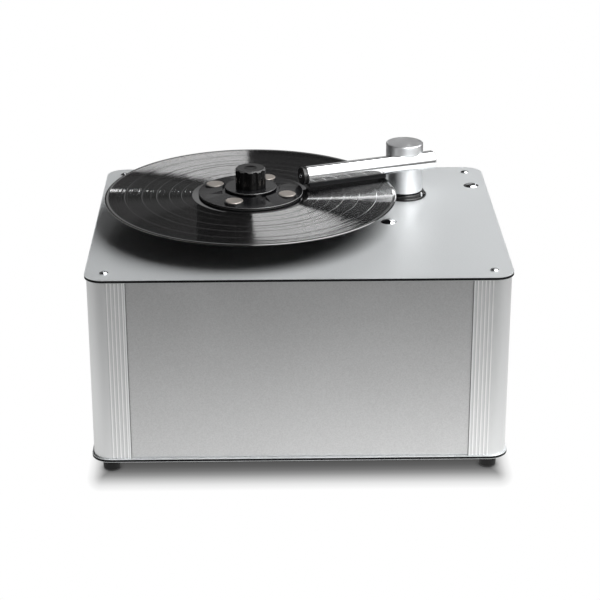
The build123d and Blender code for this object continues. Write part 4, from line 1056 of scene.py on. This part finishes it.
# The clamp's rounded edges get a painted highlight line.
turned_finish(
    "clamp_plastic", (0.006, 0.006, 0.007), 0.2, spindle, 0.0, 0.06, 0.03, gloss=0.6, edge=0.15
)
print(len(finishes), "finishes in all")

# %% [markdown]
# ## Edges of the made parts
# A solid's edges are perfectly sharp, and real ones never are. Each visible machined or moulded
# part is copied, its triangles are merged into faces, and its edges get a small round, which
# catches a thin line of light. The normals are then weighted by the faces' areas, so flat faces
# stay flat.

# %% Rounded machined parts
MERGE_DISTANCE = 0.004 * MM
SAME_PLANE = math.radians(0.6)
SHARP_EDGE = math.radians(30)
EDGE_STEPS = 2


def softened(node, width):
    """A copy of a node's solid, merged into faces and with its edges rounded."""
    piece = bpy.data.objects.new(node + "_fine", nodes[node].data.copy())
    bpy.context.scene.collection.objects.link(piece)
    pick(piece)
    bpy.ops.object.mode_set(mode="EDIT")
    bpy.ops.mesh.select_all(action="SELECT")
    bpy.ops.mesh.remove_doubles(threshold=MERGE_DISTANCE)
    bpy.ops.mesh.dissolve_limited(angle_limit=SAME_PLANE)
    bpy.ops.object.mode_set(mode="OBJECT")
    bpy.ops.mesh.customdata_custom_splitnormals_clear()
    modify(
        piece, "BEVEL", width=width, segments=EDGE_STEPS,
        limit_method="ANGLE", angle_limit=SHARP_EDGE, harden_normals=False,
    )
    smooth(piece)
    modify(piece, "WEIGHTED_NORMAL", mode="FACE_AREA", weight=100, keep_sharp=True)
    return piece


EDGE_WIDTHS = {
    "clamp_disc": 0.5,
    "clamp_weights": 0.25,
    "clamp_knob": 0.8,
    "arm_column": 0.35,
    "arm_base_ring": 0.35,
    "tube_end_plug": 0.2,
    "tube_end_cap": 0.6,
    "plate_screws": 0.1,
    "bearing_screws": 0.1,
    "plug_screw": 0.08,
}
for node, width in EDGE_WIDTHS.items():
    fit(softened(node, width * MM), node)

# %% [markdown]
# Two domed bolts hold the tank. Each is a lathe shape: a shank, a flat underside, a short upright
# side and a dome, whose points lie on a ball of the right size. One is turned, copied to the
# other bolt's place, and the two stay one piece.

# %% Tank bolts
HEAD_RADIUS = 8.2 * MM
SHANK_RADIUS = 2.5 * MM
SIDE_HEIGHT = 0.4 * MM
BOLT_SIDES = 64
BOLT_SMOOTH = 40
DOME_POINTS = (0.94, 0.85, 0.72, 0.56, 0.38, 0.2, 0.04)
bolts_low, bolts_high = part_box("tank_bolts")
side_top = deck + SIDE_HEIGHT
rise = bolts_high.z - side_top
ball = (HEAD_RADIUS**2 + rise**2) / (2 * rise)
bolt_profile = [
    (SHANK_RADIUS, bolts_low.z), (SHANK_RADIUS, deck), (HEAD_RADIUS, deck), (HEAD_RADIUS, side_top)
]
for share in DOME_POINTS:
    reach = share * HEAD_RADIUS
    bolt_profile.append((reach, bolts_high.z - ball + math.sqrt(ball**2 - reach**2)))
near_bolt = Vector((bolts_low.x + HEAD_RADIUS, bolts_low.y + HEAD_RADIUS, 0))
far_bolt = Vector((bolts_high.x - HEAD_RADIUS, bolts_high.y - HEAD_RADIUS, 0))
bolts = turn("tank_bolts_fine", bolt_profile, near_bolt, BOLT_SIDES)
bpy.ops.object.mode_set(mode="EDIT")
bpy.ops.mesh.select_all(action="SELECT")
bpy.ops.mesh.duplicate_move(TRANSFORM_OT_translate={"value": tuple(far_bolt - near_bolt)})
bpy.ops.object.mode_set(mode="OBJECT")
smooth(bolts, BOLT_SMOOTH)
fit(bolts, "tank_bolts")

# %% [markdown]
# A small bright pin stands in the base ring, beside the column. It is a short bar with a rounded
# end.

# %% Ring pin
PIN_OFFSET = Vector((17.8, -13.2, 0)) * MM
PIN_RADIUS = 1.2 * MM
PIN_SIDES = 32
PIN_SMOOTH = 60
PIN_END = [(1, 0.7), (0.85, 0.25), (0.5, 0.05), (0.1, 0.0)]
pin_foot = deck + 2.4 * MM
pin_top = deck + 6.6 * MM
pin_profile = [(PIN_RADIUS, pin_foot)]
pin_profile += [(share * PIN_RADIUS, pin_top - drop * MM) for share, drop in PIN_END]
pin = turn("ring_pin", pin_profile, column + PIN_OFFSET, PIN_SIDES)
smooth(pin, PIN_SMOOTH)
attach(pin, "case")
dress(pin, "screw_chrome")
print("pin", round((pin_top - pin_foot) / MM, 1), "mm high")

# %% [markdown]
# ## Finishes on the remaining solids
# The other solids already have the right shape. Each takes the material of its own slot.

# %% Dress the solids
for node, solid in nodes.items():
    dress(solid, slot_of[node])
print(len(nodes), "solids dressed")

# %% [markdown]
# ## Closing
# The view transform stays plain, so colours render as they are written.

# %% View transform
bpy.context.scene.view_settings.view_transform = "Standard"
